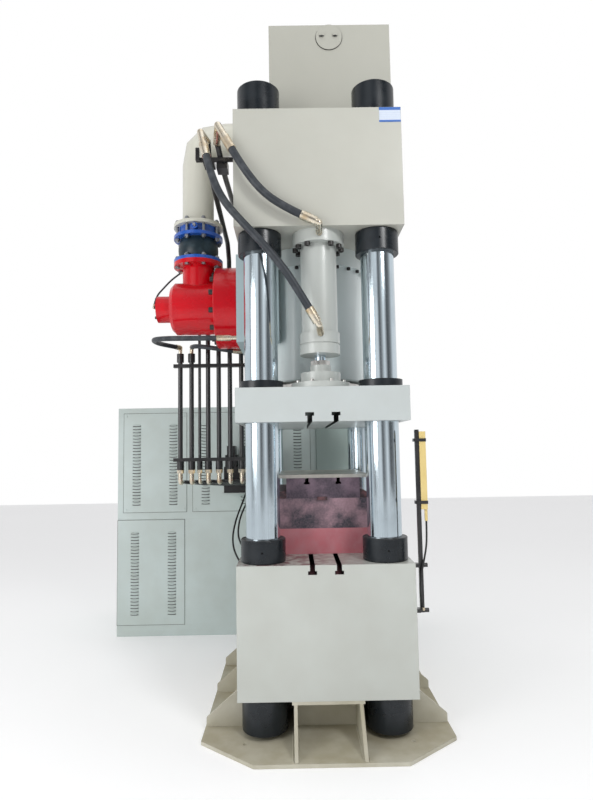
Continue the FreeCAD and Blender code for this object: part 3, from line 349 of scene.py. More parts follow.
@dataclass(frozen=True)
class BareMetal:
    """Plated, ground or polished metal with drawn lines and smudges."""

    name: str
    base: Colour
    dark: Colour
    low: float = 0.12
    high: float = 0.25
    across: Point = (300.0, 300.0, 2.0)
    smudge: float = 0.35
    smudge_scale: float = 6.0
    metallic: float = 1.0
    radius: float = 0.0015
    bump: float = 0.04

    def material(self) -> bpy.types.Material:
        """Returns the metal as a material."""
        material, g, shader = start_material(self.name)
        place = g.add("ShaderNodeTexCoord").outputs["Object"]
        lines = place_group(g, EFFECTS.streaks, {"Across": self.across, "Low": self.low, "High": self.high})
        patch = g.ramp(g.noise(place, self.smudge_scale, 5.0), 0.45, 0.75)
        share = g.math("MULTIPLY", patch, self.smudge)
        share = g.math("ADD", share, g.math("MULTIPLY", lines.outputs["Value"], 0.15))
        colour = g.mix(share, rgba(self.base), rgba(self.dark))
        rough = g.math("ADD", lines.outputs["Roughness"], g.math("MULTIPLY", patch, self.smudge * 0.25))
        edge = place_group(g, EFFECTS.wear, {"Radius": self.radius, "Amount": 0.0})
        bump = g.add("ShaderNodeBump", {"Strength": self.bump, "Distance": 0.001,
                                        "Height": lines.outputs["Value"], "Normal": edge.outputs["Normal"]})
        g.tree.links.new(colour, shader.inputs["Base Color"])
        g.tree.links.new(rough, shader.inputs["Roughness"])
        g.tree.links.new(bump.outputs[0], shader.inputs["Normal"])
        shader.inputs["Metallic"].default_value = self.metallic
        return material


@dataclass(frozen=True)
class Rubber:
    """Hose or bellows rubber with a wrapped-cloth grain and dusty scuffs."""

    name: str
    base: Colour = (0.022, 0.027, 0.034)
    scuff: Colour = (0.13, 0.14, 0.15)
    rough: float = 0.46
    grain: float = 260.0
    amount: float = 0.5

    def material(self) -> bpy.types.Material:
        """Returns the rubber as a material."""
        material, g, shader = start_material(self.name)
        place = g.add("ShaderNodeTexCoord").outputs["Object"]
        fine = g.noise(place, self.grain, 2.0)
        rub = g.ramp(g.noise(place, 14.0, 6.0), 0.48, 0.75)
        share = g.math("MULTIPLY", rub, self.amount)
        share = g.math("ADD", share, g.math("MULTIPLY", fine, 0.12))
        g.tree.links.new(g.mix(share, rgba(self.base), rgba(self.scuff)), shader.inputs["Base Color"])
        g.tree.links.new(g.math("ADD", g.math("MULTIPLY", rub, 0.2), self.rough), shader.inputs["Roughness"])
        bump = g.add("ShaderNodeBump", {"Strength": 0.25, "Distance": 0.0008, "Height": fine})
        g.tree.links.new(bump.outputs[0], shader.inputs["Normal"])
        shader.inputs["Specular IOR Level"].default_value = 0.35
        return material


@dataclass(frozen=True)
class DieSteel:
    """Oiled tool steel under red moulding dust, with rubbed patches."""

    name: str
    base: Colour
    dust: Colour
    patch_low: float = 0.45
    patch_high: float = 0.55
    scale: float = 9.0
    rough: float = 0.5

    def material(self) -> bpy.types.Material:
        """Returns the die steel as a material."""
        material, g, shader = start_material(self.name)
        place = g.add("ShaderNodeTexCoord").outputs["Object"]
        cloud = g.ramp(g.noise(place, self.scale, 8.0), self.patch_low, self.patch_high)
        fine = g.ramp(g.noise(place, 90.0, 6.0), 0.35, 0.65)
        share = g.math("ADD", g.math("MULTIPLY", cloud, 0.75), g.math("MULTIPLY", fine, 0.2))
        colour = g.mix(share, rgba(self.base), rgba(self.dust))
        edge = place_group(g, EFFECTS.wear, {"Radius": 0.003, "Amount": 0.7})
        colour = g.mix(edge.outputs["Mask"], colour, (0.4, 0.33, 0.33, 1))
        g.tree.links.new(colour, shader.inputs["Base Color"])
        g.tree.links.new(g.math("ADD", g.math("MULTIPLY", share, 0.25), self.rough), shader.inputs["Roughness"])
        bump = g.add("ShaderNodeBump", {"Strength": 0.3, "Distance": 0.002, "Height": share,
                                        "Normal": edge.outputs["Normal"]})
        g.tree.links.new(bump.outputs[0], shader.inputs["Normal"])
        return material


@dataclass(frozen=True)
class PlateFace:
    """White plate with a blue band along its top and foot, and thin ruled lines."""

    name: str
    low: float
    high: float

    def material(self) -> bpy.types.Material:
        """Returns the plate's face as a material."""
        material, g, shader = start_material(self.name)
        place = g.add("ShaderNodeTexCoord").outputs["Object"]
        level = g.add("ShaderNodeSeparateXYZ", {0: place}).outputs[2]
        level = g.ramp(level, self.low, self.high)
        head = g.math("GREATER_THAN", level, 0.8)
        foot = g.math("LESS_THAN", level, 0.13)
        band = g.math("MAXIMUM", head, foot)
        rule = g.math("GREATER_THAN", g.math("FRACT", g.math("MULTIPLY", level, 8.0)), 0.9)
        fade = g.ramp(g.noise(place, 60.0, 3.0), 0.3, 0.8)
        paper = g.mix(g.math("MULTIPLY", fade, 0.25), (0.60, 0.66, 0.76, 1), (0.45, 0.52, 0.65, 1))
        paper = g.mix(g.math("MULTIPLY", rule, 0.35), paper, (0.2, 0.3, 0.5, 1))
        g.tree.links.new(g.mix(band, paper, (0.04, 0.14, 0.45, 1)), shader.inputs["Base Color"])
        g.tree.links.new(g.math("ADD", g.math("MULTIPLY", fade, 0.15), 0.3), shader.inputs["Roughness"])
        return material


@dataclass(frozen=True)
class Finishes:
    """Every finish on the press, and the CAD nodes that each one covers."""

    blocks: Paint = Paint("block_paint", (0.500, 0.503, 0.450), (0.445, 0.448, 0.400), rough=0.36, coat=0.15,
                          amount=0.8, cloud=1.8, dust_side=0.05, wear=0.25)
    bed: Paint = Paint("bed_paint", (0.530, 0.555, 0.518), (0.480, 0.500, 0.462), rough=0.36, coat=0.15,
                       amount=0.8, cloud=1.8, dust_side=0.05, wear=0.25, slots=(0.9165, 0.9695),
                       spill=(0.17, 0.07, 0.08))
    beam: Paint = Paint("beam_paint", (0.540, 0.585, 0.580), (0.475, 0.515, 0.51), rough=0.36, coat=0.15,
                        cloud=2.6, dust_side=0.06, wear=0.3, slots=(1.7705, 1.8235))
    tank: Paint = Paint("tank_paint", (0.425, 0.425, 0.375), (0.375, 0.375, 0.325), rough=0.42, cloud=2.2,
                        dust_side=0.03)
    feed: Paint = Paint("feed_pipe_paint", (0.64, 0.635, 0.555), (0.56, 0.555, 0.48), rough=0.34, coat=0.2)
    foot: Paint = Paint("foot_paint", (0.56, 0.54, 0.45), (0.43, 0.405, 0.31), rough=0.5, amount=0.9,
                        cloud=5.0, dust=(0.33, 0.29, 0.19), dust_top=0.65, dust_side=0.1, dust_scale=4.0)
    cylinders: Paint = Paint("cylinder_paint", (0.48, 0.505, 0.48), (0.41, 0.44, 0.42), rough=0.34, coat=0.25,
                             dust_top=0.35)
    barrel: Paint = Paint("barrel_paint", (0.68, 0.75, 0.745), (0.60, 0.67, 0.67), rough=0.34, coat=0.25)
    valve_seat: Paint = Paint("valve_block_paint", (0.47, 0.59, 0.62), (0.41, 0.52, 0.55), rough=0.38)
    unit: Paint = Paint("unit_paint", (0.59, 0.675, 0.66), (0.50, 0.57, 0.54), rough=0.45, amount=0.7,
                        cloud=1.4, dust_side=0.12, dust=(0.36, 0.36, 0.29), wear=0.15, radius=0.002)
    door: Paint = Paint("door_paint", (0.40, 0.50, 0.475), (0.30, 0.36, 0.33), rough=0.45, amount=0.8, cloud=1.1,
                        wear=0.15, radius=0.002)
    red: Paint = Paint("valve_red", (0.62, 0.001, 0.009), (0.50, 0.001, 0.010), rough=0.26, coat=0.4, specular=0.22, amount=0.6,
                       cloud=9.0, dust_top=0.08, dust_side=0.0, wear=0.12, radius=0.004, peel=0.1)
    blue: Paint = Paint("flange_blue", (0.006, 0.10, 0.50), (0.005, 0.06, 0.34), rough=0.3, coat=0.5, cloud=12.0,
                        dust_top=0.12, wear=0.4, radius=0.002)
    black: Paint = Paint("black_oxide", (0.005, 0.008, 0.011), (0.016, 0.022, 0.028), rough=0.3, specular=0.4,
                         cloud=8.0, dust=(0.12, 0.10, 0.09), dust_top=0.3, dust_side=0.0, wear=0.5,
                         bare=(0.16, 0.16, 0.16), radius=0.004)
    pipes: Paint = Paint("black_pipe_paint", (0.009, 0.009, 0.010), (0.022, 0.022, 0.024), rough=0.33, coat=0.3,
                         cloud=14.0, dust=(0.12, 0.10, 0.09), dust_top=0.3, wear=0.3, bare=(0.1, 0.1, 0.1),
                         radius=0.002)
    screws: Paint = Paint("screw_black", (0.012, 0.012, 0.013), (0.045, 0.04, 0.035), rough=0.38, cloud=30.0,
                          dust_top=0.2, wear=0.2, bare=(0.16, 0.15, 0.14), radius=0.0015)
    yellow: Paint = Paint("curtain_yellow", (0.76, 0.60, 0.25), (0.64, 0.48, 0.16), rough=0.35, coat=0.3,
                          cloud=9.0, wear=0.5, radius=0.002)
    bolster: Paint = Paint("bolster_red", (0.56, 0.17, 0.20), (0.42, 0.10, 0.13), rough=0.5, amount=0.8,
                           cloud=9.0, dust=(0.60, 0.32, 0.34), dust_top=0.8, dust_side=0.4, dust_scale=18.0,
                           bare=(0.55, 0.4, 0.38), wear=0.6)
    chrome: BareMetal = BareMetal("column_chrome", (0.64, 0.735, 0.79), (0.26, 0.32, 0.36), low=0.07, high=0.18,
                                  across=(420.0, 420.0, 1.6), smudge=0.3, smudge_scale=3.5)
    steel: BareMetal = BareMetal("bright_steel", (0.62, 0.61, 0.58), (0.33, 0.32, 0.30), low=0.22, high=0.42,
                                 across=(60.0, 60.0, 60.0), smudge=0.4, smudge_scale=14.0)
    zinc: BareMetal = BareMetal("zinc_plate", (0.76, 0.70, 0.58), (0.46, 0.32, 0.16), low=0.16, high=0.32,
                                across=(50.0, 50.0, 50.0), smudge=0.8, smudge_scale=16.0)
    stud: BareMetal = BareMetal("stud_zinc", (0.40, 0.41, 0.43), (0.04, 0.05, 0.07), low=0.25, high=0.45,
                                across=(60.0, 60.0, 60.0), smudge=0.75, smudge_scale=28.0)
    ground: BareMetal = BareMetal("ground_plate", (0.60, 0.58, 0.53), (0.30, 0.27, 0.25), low=0.28, high=0.45,
                                  across=(5.0, 240.0, 240.0), smudge=0.5, smudge_scale=10.0)
    bellows: Rubber = Rubber("bellows_rubber", (0.008, 0.020, 0.028), (0.05, 0.09, 0.115), rough=0.36)
    hose: Rubber = Rubber("hose_rubber")
    cable: Rubber = Rubber("cable_sheath", (0.012, 0.012, 0.013), (0.06, 0.06, 0.06), rough=0.4)
    lower_die: DieSteel = DieSteel("lower_die_steel", (0.035, 0.035, 0.050), (0.40, 0.25, 0.29), 0.40, 0.60, 7.0)
    upper_die: DieSteel = DieSteel("upper_die_steel", (0.055, 0.040, 0.058), (0.25, 0.17, 0.22), 0.45, 0.72, 8.0)
    clamps: DieSteel = DieSteel("clamp_steel", (0.020, 0.016, 0.020), (0.22, 0.09, 0.10), 0.5, 0.75, 20.0)

    def covers(self) -> dict[str, tuple[str, ...]]:
        """Returns each finish's field name and the CAD nodes that it covers."""
        return {
            "blocks": ("crown_block",),
            "bed": ("base_block",),
            "beam": ("moving_beam",),
            "tank": ("top_tank", "tank_cover"),
            "feed": ("feed_pipe",),
            "foot": ("foot_plate", "foot_frame"),
            "cylinders": ("return_cylinders", "return_glands", "rod_bosses"),
            "barrel": ("main_cylinder", "main_gland"),
            "valve_seat": ("valve_block",),
            "unit": ("tank_base", "upper_enclosure", "louvre_panels"),
            "door": ("electric_cabinet",),
            "red": ("prefill_elbow", "prefill_housing", "pilot_cap"),
            "blue": ("butterfly_body", "joint_flanges"),
            "black": ("outer_nuts", "inner_nuts", "guide_bushes"),
            "pipes": ("riser_pipes", "supply_pipes", "pipe_supports", "curtain_post", "valve_manifold",
                      "pump_set"),
            "screws": ("prefill_screws", "cylinder_screws", "foot_bolts"),
            "yellow": ("curtain_bar",),
            "bolster": ("bolster_block",),
            "chrome": ("columns", "return_rods"),
            "steel": ("main_ram", "butterfly_disc", "prefill_poppet", "slide_fasteners"),
            "zinc": ("pipe_fittings", "hose_fittings"),
            "stud": ("flange_studs",),
            "ground": ("die_cover_plate",),
            "bellows": ("expansion_joint",),
            "lower_die": ("die_lower_block",),
            "upper_die": ("die_upper_block",),
            "clamps": ("die_clamps",),
        }


def dress_node(name: str, material: bpy.types.Material) -> None:
    """Puts a material on every slot of a CAD node.

    Args:
        name: CAD node.
        material: finish of the whole node.
    """
    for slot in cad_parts[name].material_slots:
        slot.link = "OBJECT"
        slot.material = material


@dataclass
class Hose:
    """A hose or cable between two places on the press."""

    name: str
    points: Sequence[Point]
    diameter: float
    length: float
    stiffness: Stiffness = Stiffness.STIFF
    ends: tuple[str, ...] = ()

    def build(self, finish: bpy.types.Material) -> bpy.types.Object:
        """Args:
            finish: material of the outer cover.

        Returns:
            The tube's object.
        """
        curve = bpy.data.curves.new(self.name + "_tube", "CURVE")
        curve.dimensions = "3D"
        spline = curve.splines.new("NURBS")
        spline.points.add(len(self.points) - 1)
        for place, spot in zip(self.points, spline.points):
            spot.co = (place[0] / 1000.0, place[1] / 1000.0, place[2] / 1000.0, 1.0)
        spline.order_u = 3
        spline.use_endpoint_u = True
        curve.resolution_u = 14
        curve.bevel_depth = self.diameter / 2000.0
        curve.bevel_resolution = 5
        curve.use_fill_caps = True
        curve.materials.append(finish)
        tube = bpy.data.objects.new(self.name + "_tube", curve)
        bpy.context.collection.objects.link(tube)
        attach(tube, "frame")
        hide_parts(self.name)
        LOG.info("hose %s, %.0f mm long", self.name, self.length)
        return tube


@dataclass
class Plumbing:
    """The free hoses and cables. Points are in millimetres."""

    hoses: list[Hose] = field(default_factory=lambda: [
        Hose("upper_hose", [(-502, -740, 3366), (-434, -764, 3236), (-322, -758, 3092), (-198, -756, 3006),
                            (-106, -752, 2962)], 46, 582, ends=("hose_fittings",)),
        Hose("lower_hose", [(-664, -650, 3373), (-628, -690, 3222), (-552, -740, 3052), (-450, -762, 2925),
                            (-328, -764, 2792), (-206, -758, 2642), (-122, -744, 2508), (-68, -728, 2418)],
             46, 1154),
        Hose("loop_hose", [(-660, -252, 2346), (-820, -252, 2346), (-980, -230, 2352), (-1095, -125, 2368),
                           (-1140, 25, 2385), (-1143, 180, 2397), (-1113, 283, 2402), (-1052, 363, 2401)],
             34, 989),
        Hose("short_hose", [(-928, 366, 2398), (-900, 262, 2388), (-806, 180, 2366), (-690, 168, 2345),
                            (-604, 196, 2337)], 34, 437),
        Hose("pilot_hose", [(-952, 20, 2864), (-1006, 14, 2824), (-1064, 6, 2758), (-1117, 2, 2697),
                            (-1128, 0, 2642)], 12, 291, Stiffness.MEDIUM),
    ])
    cables: list[Hose] = field(default_factory=lambda: [
        Hose("outer_cable", [(-560, 935, 1285), (-560, 855, 1285), (-590, 755, 1190), (-634, 635, 1070),
                             (-652, 505, 940), (-618, 395, 835), (-560, 325, 775)], 14, 840, Stiffness.MEDIUM),
        Hose("inner_cable", [(-510, 935, 1285), (-510, 855, 1285), (-556, 765, 1190), (-602, 650, 1085),
                             (-612, 530, 975), (-578, 430, 905), (-540, 365, 870)], 14, 747, Stiffness.MEDIUM),
        Hose("curtain_lead", [(581, -640, 1196), (581, -640, 1125), (572, -660, 1055), (554, -669, 980),
                              (536, -670, 905), (527, -670, 835), (532, -669, 765), (541, -668, 722)],
             11, 483, Stiffness.MEDIUM),
    ])

    def build(self, hose: bpy.types.Material, cable: bpy.types.Material) -> None:
        """Makes every hose and cable in its cover."""
        for piece in self.hoses:
            piece.build(hose)
        for piece in self.cables:
            piece.build(cable)


def point_mesh(name: str, places: Sequence[Point], edges: Sequence[tuple[int, int]] = ()) -> bpy.types.Object:
    """Makes an object of bare points, and edges if given, for a node tree to work on.

    Args:
        name: name of the object.
        places: points in metres.
        edges: pairs of point numbers.

    Returns:
        The object, linked to the scene.
    """
    mesh = bpy.data.meshes.new(name)
    mesh.from_pydata([tuple(p) for p in places], list(edges), [])
    thing = bpy.data.objects.new(name, mesh)
    bpy.context.collection.objects.link(thing)
    return thing


@dataclass
class RepeatTree:
    """A geometry tree with named inputs, run once on an object and turned into plain mesh."""

    name: str
    sizes: dict[str, tuple[str, object]]

    def start(self) -> tuple[Graph, bpy.types.Node, bpy.types.Node]:
        """Returns the graph, input node and output node of a new tree with the named sockets."""
        self.tree = bpy.data.node_groups.new(self.name, "GeometryNodeTree")
        self.tree.interface.new_socket(name="Geometry", in_out="INPUT", socket_type="NodeSocketGeometry")
        for label, (kind, default) in self.sizes.items():
            socket = self.tree.interface.new_socket(name=label, in_out="INPUT", socket_type=kind)
            socket.default_value = default
        self.tree.interface.new_socket(name="Geometry", in_out="OUTPUT", socket_type="NodeSocketGeometry")
        graph = Graph(self.tree)
        return graph, graph.add("NodeGroupInput"), graph.add("NodeGroupOutput")

    def end(self, graph: Graph, shape: bpy.types.NodeSocket, out: bpy.types.Node,
            finish: bpy.types.Material) -> None:
        """Ends the tree in Realize Instances and Set Material.

        Args:
            graph: graph of the tree.
            shape: geometry so far.
            out: output node.
            finish: material of the pieces.
        """
        plain = graph.add("GeometryNodeRealizeInstances", {0: shape}).outputs[0]
        dressed = graph.add("GeometryNodeSetMaterial", {0: plain, "Material": finish}).outputs[0]
        graph.tree.links.new(dressed, out.inputs[0])

    def run(self, thing: bpy.types.Object, body: str, slot: str, values: dict[str, object]) -> bpy.types.Object:
        """Runs the tree on an object and makes the result its plain mesh.

        Args:
            thing: object of bare points.
            body: body that the piece rides on.
            slot: not used.
            values: input name to value.

        Returns:
            The finished piece.
        """
        modifier = thing.modifiers.new(self.name, "NODES")
        modifier.node_group = self.tree
        for item in self.tree.interface.items_tree:
            if item.in_out == "INPUT" and item.name in values:
                modifier[item.identifier] = values[item.name]
        graph = bpy.context.evaluated_depsgraph_get()
        mesh = bpy.data.meshes.new_from_object(thing.evaluated_get(graph))
        mesh.name = thing.name
        thing.modifiers.clear()
        thing.data = mesh
        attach(thing, body)
        LOG.info("%s, %d faces", thing.name, len(mesh.polygons))
        return thing


def hood_tree(finish: bpy.types.Material) -> RepeatTree:
    """Returns the tree that stands a column of pressed louvre hoods above each point."""
    made = RepeatTree("louvre_hoods", {
        "Rows": ("NodeSocketInt", 26), "Pitch": (FLOAT, 0.028), "Width": (FLOAT, 0.078),
        "Depth": (FLOAT, 0.007), "Height": (FLOAT, 0.014)})
    g, gin, gout = made.start()
    rise = g.add("ShaderNodeCombineXYZ", {2: gin.outputs["Pitch"]}).outputs[0]
    row = g.add("GeometryNodeMeshLine", {"Count": gin.outputs["Rows"], "Offset": rise})
    columns = g.add("GeometryNodeInstanceOnPoints", {"Points": gin.outputs[0], "Instance": row.outputs[0]})
    spots = g.add("GeometryNodeRealizeInstances", {0: columns.outputs[0]}).outputs[0]
    ball = g.add("GeometryNodeMeshUVSphere", {"Segments": 12, "Rings": 6, "Radius": 0.5}).outputs[0]
    size = g.add("ShaderNodeCombineXYZ", {0: gin.outputs["Width"], 1: g.math("MULTIPLY", gin.outputs["Depth"], 2.0),
                                          2: gin.outputs["Height"]}).outputs[0]
    hoods = g.add("GeometryNodeInstanceOnPoints", {"Points": spots, "Instance": ball, "Scale": size})
    smooth = g.add("GeometryNodeSetShadeSmooth", {0: hoods.outputs[0]}).outputs[0]
    made.end(g, smooth, gout, finish)
    return made


def bead_tree(finish: bpy.types.Material) -> RepeatTree:
    """Returns the tree that lays a rippled weld bead along each edge."""
    made = RepeatTree("weld_beads", {"Throat": (FLOAT, 0.005), "Ripple": (FLOAT, 0.006), "Seed": ("NodeSocketInt", 7)})
    g, gin, gout = made.start()
    line = g.add("GeometryNodeMeshToCurve", {0: gin.outputs[0]}).outputs[0]
    step = g.math("MULTIPLY", gin.outputs["Ripple"], 0.5)
    line = g.add("GeometryNodeResampleCurve", {"Curve": line, "Length": step}, mode="LENGTH").outputs[0]
    number = g.add("GeometryNodeInputIndex").outputs[0]
    swell = g.math("MULTIPLY", g.math("MODULO", number, 2.0), 0.16)
    chance = g.add("FunctionNodeRandomValue", {"Min": 0.88, "Max": 1.06, "Seed": gin.outputs["Seed"]},
                   data_type="FLOAT")
    size = g.math("MULTIPLY", g.math("ADD", swell, chance.outputs[1]), gin.outputs["Throat"])
    line = g.add("GeometryNodeSetCurveRadius", {"Curve": line, "Radius": size}).outputs[0]
    ring = g.add("GeometryNodeCurvePrimitiveCircle", {"Resolution": 7, "Radius": 1.0}).outputs[0]
    bead = g.add("GeometryNodeCurveToMesh", {"Curve": line, "Profile Curve": ring, "Fill Caps": True})
    if "Scale" in bead.inputs:
        g.tree.links.new(size, bead.inputs["Scale"])
    smooth = g.add("GeometryNodeSetShadeSmooth", {0: bead.outputs[0]}).outputs[0]
    made.end(g, smooth, gout, finish)
    return made


def seam_tree(finish: bpy.types.Material) -> RepeatTree:
    """Returns the tree that runs a thin sealing strip along each edge."""
    made = RepeatTree("panel_seals", {"Width": (FLOAT, 0.0016)})
    g, gin, gout = made.start()
    line = g.add("GeometryNodeMeshToCurve", {0: gin.outputs[0]}).outputs[0]
    ring = g.add("GeometryNodeCurvePrimitiveCircle", {"Resolution": 6, "Radius": gin.outputs["Width"]}).outputs[0]
    strip = g.add("GeometryNodeCurveToMesh", {"Curve": line, "Profile Curve": ring, "Fill Caps": True})
    made.end(g, strip.outputs[0], gout, finish)
    return made


@dataclass
class PowerUnit:
    """Louvre hoods and panel seals on the power unit's front."""

    upper_columns: Sequence[float] = (-1.578, -1.250, -0.962, -0.612, -0.335, -0.136)
    lower_columns: Sequence[float] = (-1.590, -1.262)
    upper_spans: Sequence[tuple[float, float]] = ((-1.695, -1.131), (-1.078, -0.513), (-0.460, -0.021))
    lower_span: tuple[float, float] = (-1.744, -1.150)
    first_upper: float = 1.133
    first_lower: float = 0.180
    gap: float = 0.010

    def build(self, paint: bpy.types.Material, seal: bpy.types.Material) -> None:
        """Makes the hoods, thin dark pieces of painted shade in the louvre slots, and the seals.

        Args:
            paint: paint of the panels.
            seal: dark material of the seals and of the painted shade in the louvre slots.
        """
        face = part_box("louvre_panels")[0].y + 0.0052
        face = max(face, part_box("tank_base")[0].y - 0.003)
        starts = [(x, self.first_upper) for x in self.upper_columns]
        starts += [(x, self.first_lower) for x in self.lower_columns]
        hoods = point_mesh("louvre_hoods", [(x, face + 0.001, z + self.gap + 0.002) for x, z in starts])
        hood_tree(paint).run(hoods, "frame", "unit_paint", {"Rows": 26, "Depth": 0.011, "Height": 0.015})
        # Thin near-black pieces behind the hoods: painted shade of the dark slot openings.
        louvre_shade_pieces = point_mesh("louvre_painted_shade", [(x, face, z + 0.4 * self.gap) for x, z in starts])
        hood_tree(seal).run(louvre_shade_pieces, "frame", "black_steel", {"Rows": 26, "Depth": 0.0012, "Height": 0.011})
        places: list[Point] = []
        edges: list[tuple[int, int]] = []
        y = face + 0.0016
        frames = [(a, b, 1.070, 1.952) for a, b in self.upper_spans] + [(*self.lower_span, 0.096, 1.004)]
        for x0, x1, z0, z1 in frames:
            first = len(places)
            places += [(x0, y, z0), (x1, y, z0), (x1, y, z1), (x0, y, z1)]
            edges += [(first + i, first + (i + 1) % 4) for i in range(4)]
        seals = point_mesh("panel_seals", places, edges)
        seam_tree(seal).run(seals, "frame", "hose_rubber", {"Width": 0.0028})


@dataclass
class TankCover:
    """Seal of the round inspection cover on the top tank, and painted shade under its catches."""

    catches: Sequence[float] = (0.056, 0.143)
    steps: int = 48

    def build(self, rubber: bpy.types.Material) -> None:
        """Makes the seal round the cover and dark pieces of painted shade under its catches.

        Args:
            rubber: dark material of the seal and of the painted shade.
        """
        low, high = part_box("tank_cover")
        middle = (low.x + high.x) / 2.0
        level = (low.z + high.z) / 2.0
        radius = (high.x - low.x) / 2.0 + 0.0008
        turns = [2.0 * math.pi * i / self.steps for i in range(self.steps)]
        places = [(middle + radius * math.cos(a), high.y - 0.0015, level + radius * math.sin(a)) for a in turns]
        edges = [(i, (i + 1) % self.steps) for i in range(self.steps)]
        ring = point_mesh("cover_seal", places, edges)
        seam_tree(rubber).run(ring, "frame", "black_steel", {"Width": 0.0022})
        # Dark pieces under the two catches: painted shade below them.
        catch_shade_pieces = point_mesh("catch_painted_shade", [(x, low.y + 0.004, level + 0.004) for x in self.catches])
        hood_tree(rubber).run(catch_shade_pieces, "frame", "black_steel",
                              {"Rows": 1, "Width": 0.034, "Depth": 0.005, "Height": 0.011})


@dataclass
class Welds:
    """Weld beads where the foot plates meet."""

    rib_x: float = 0.1825
    rib_half: float = 0.0125

    def build(self, finish: bpy.types.Material) -> None:
        """Lays the beads along the visible joints of the foot frame.

        Args:
            finish: painted weld.
        """
        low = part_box("foot_plate")[1].z
        places: list[Point] = []
        edges: list[tuple[int, int]] = []
        for side in (-1.0, 1.0):
            for face in (-1.0, 1.0):
                x = side * self.rib_x + face * (self.rib_half + 0.002)
                for y0, y1 in ((-0.885, -0.52), (0.52, 0.885)):
                    first = len(places)
                    places += [(x, y0, low + 0.001), (x, y1, low + 0.001)]
                    edges.append((first, first + 1))
        beads = point_mesh("foot_weld_beads", places, edges)
        bead_tree(finish).run(beads, "frame", "cream_paint", {"Throat": 0.005})


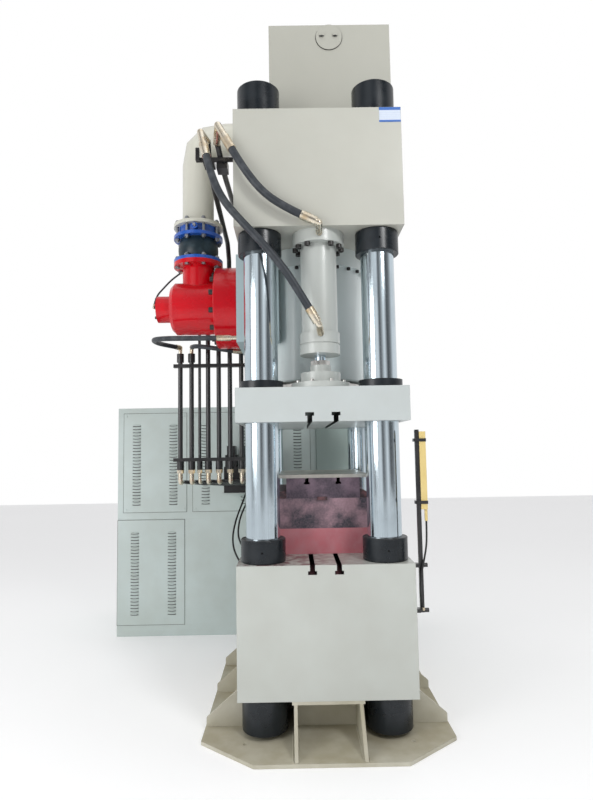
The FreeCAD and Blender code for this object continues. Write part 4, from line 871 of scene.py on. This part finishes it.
@dataclass
class Studio:
    """Floor, soft lights and camera."""

    eye: Point = (-0.168, -3.962, 1.624)
    focal: float = 25.86
    yaw: float = -0.34
    pitch: float = 4.73
    roll: float = 0.95

    def build(self) -> None:
        """Sets up the floor, the lights and the camera."""
        bpy.context.scene.view_settings.view_transform = "Standard"
        self._floor()
        self._sky()
        self._light("key_light", (2.6, -4.6, 5.0), (0.0, 0.0, 2.0), 1.3, 120.0)
        self._light("fill_light", (-3.9, -3.6, 2.6), (0.0, 0.0, 1.6), 2.4, 90.0)
        self._light("top_light", (0.2, -1.6, 6.8), (0.0, 0.2, 2.0), 3.0, 25.0)
        self._camera()

    def _floor(self) -> None:
        """Makes the plain pale floor."""
        mesh = bpy.data.meshes.new("floor")
        mesh.from_pydata([(-14, -14, -0.0005), (14, -14, -0.0005), (14, 14, -0.0005), (-14, 14, -0.0005)], [],
                         [(0, 1, 2, 3)])
        floor = bpy.data.objects.new("floor", mesh)
        bpy.context.collection.objects.link(floor)
        material, g, shader = start_material("floor_paint")
        place = g.add("ShaderNodeTexCoord").outputs["Object"]
        cloud = g.noise(place, 0.8, 3.0)
        g.tree.links.new(g.mix(cloud, (0.90, 0.90, 0.90, 1), (0.86, 0.86, 0.86, 1)), shader.inputs["Base Color"])
        shader.inputs["Roughness"].default_value = 0.75
        shader.inputs["Emission Color"].default_value = (1.0, 1.0, 1.0, 1.0)
        shader.inputs["Emission Strength"].default_value = 0.16
        floor.data.materials.append(material)

    def _sky(self) -> None:
        """Makes a soft room of light that is darker behind the viewer, so that chrome shows bands."""
        world = bpy.data.worlds.new("soft_room")
        world.use_nodes = True
        bpy.context.scene.world = world
        tree = world.node_tree
        tree.nodes.clear()
        g = Graph(tree)
        place = g.add("ShaderNodeTexCoord").outputs["Generated"]
        split = g.add("ShaderNodeSeparateXYZ", {0: place})
        turn = g.math("ARCTAN2", split.outputs[0], g.math("MULTIPLY", split.outputs[1], -1.0))
        bands = g.add("ShaderNodeValToRGB", {0: g.ramp(turn, -math.pi, math.pi)})
        ramp = bands.color_ramp
        stops = [(0.0, 0.95), (0.26, 0.95), (0.33, 0.12), (0.38, 0.8), (0.45, 1.0), (0.485, 0.10), (0.52, 0.35),
                 (0.57, 1.0), (0.63, 0.08), (0.69, 0.25), (0.76, 0.95), (1.0, 0.95)]
        ramp.elements[0].position, ramp.elements[0].color = stops[0][0], (stops[0][1],) * 3 + (1.0,)
        ramp.elements[1].position, ramp.elements[1].color = stops[-1][0], (stops[-1][1],) * 3 + (1.0,)
        for position, value in stops[1:-1]:
            ramp.elements.new(position).color = (value, value, value * 1.02, 1.0)
        room = g.add("ShaderNodeBackground", {0: bands.outputs[0], 1: 0.9})
        white = g.add("ShaderNodeBackground", {0: (1, 1, 1, 1), 1: 1.0})
        path = g.add("ShaderNodeLightPath")
        mixed = g.add("ShaderNodeMixShader", {0: path.outputs["Is Camera Ray"], 1: room.outputs[0], 2: white.outputs[0]})
        g.add("ShaderNodeOutputWorld", {0: mixed.outputs[0]})

    def _light(self, name: str, place: Point, target: Point, size: float, watts: float) -> None:
        """Adds one soft square light.

        Args:
            name: name of the light.
            place: where it stands.
            target: what it faces.
            size: side of its face in metres.
            watts: its power.
        """
        data = bpy.data.lights.new(name, "AREA")
        data.size = size
        data.energy = watts
        lamp = bpy.data.objects.new(name, data)
        lamp.location = place
        lamp.rotation_euler = (Vector(target) - Vector(place)).to_track_quat("-Z", "Y").to_euler()
        bpy.context.collection.objects.link(lamp)

    def _camera(self) -> None:
        """Adds the camera at standing eye height in front of the press."""
        data = bpy.data.cameras.new("camera")
        data.lens = self.focal
        data.sensor_width = 36.0
        data.clip_end = 60.0
        eye = bpy.data.objects.new("camera", data)
        turn = (Matrix.Rotation(math.radians(self.yaw), 3, "Z") @ Matrix.Rotation(math.radians(self.pitch), 3, "X")
                @ Matrix.Rotation(math.radians(self.roll), 3, "Y"))
        right, ahead, up = (turn.col[i] for i in range(3))
        pose = Matrix((right, up, -ahead)).transposed().to_4x4()
        pose.translation = Vector(self.eye)
        eye.matrix_world = pose
        bpy.context.collection.objects.link(eye)
        bpy.context.scene.camera = eye


def main() -> None:
    """Builds the looks of the whole press."""
    logging.basicConfig(level=logging.INFO)
    Studio().build()
    finishes = Finishes()
    made: dict[str, bpy.types.Material] = {}
    for name, nodes in finishes.covers().items():
        made[name] = getattr(finishes, name).material()
        for node in nodes:
            dress_node(node, made[name])
    low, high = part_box("rating_plate")
    dress_node("rating_plate", PlateFace("plate_face", low.z, high.z).material())
    Plumbing().build(finishes.hose.material(), finishes.cable.material())
    PowerUnit().build(made["unit"], made["screws"])
    TankCover().build(made["screws"])
    Welds().build(made["foot"])


if __name__ == "__main__":
    main()
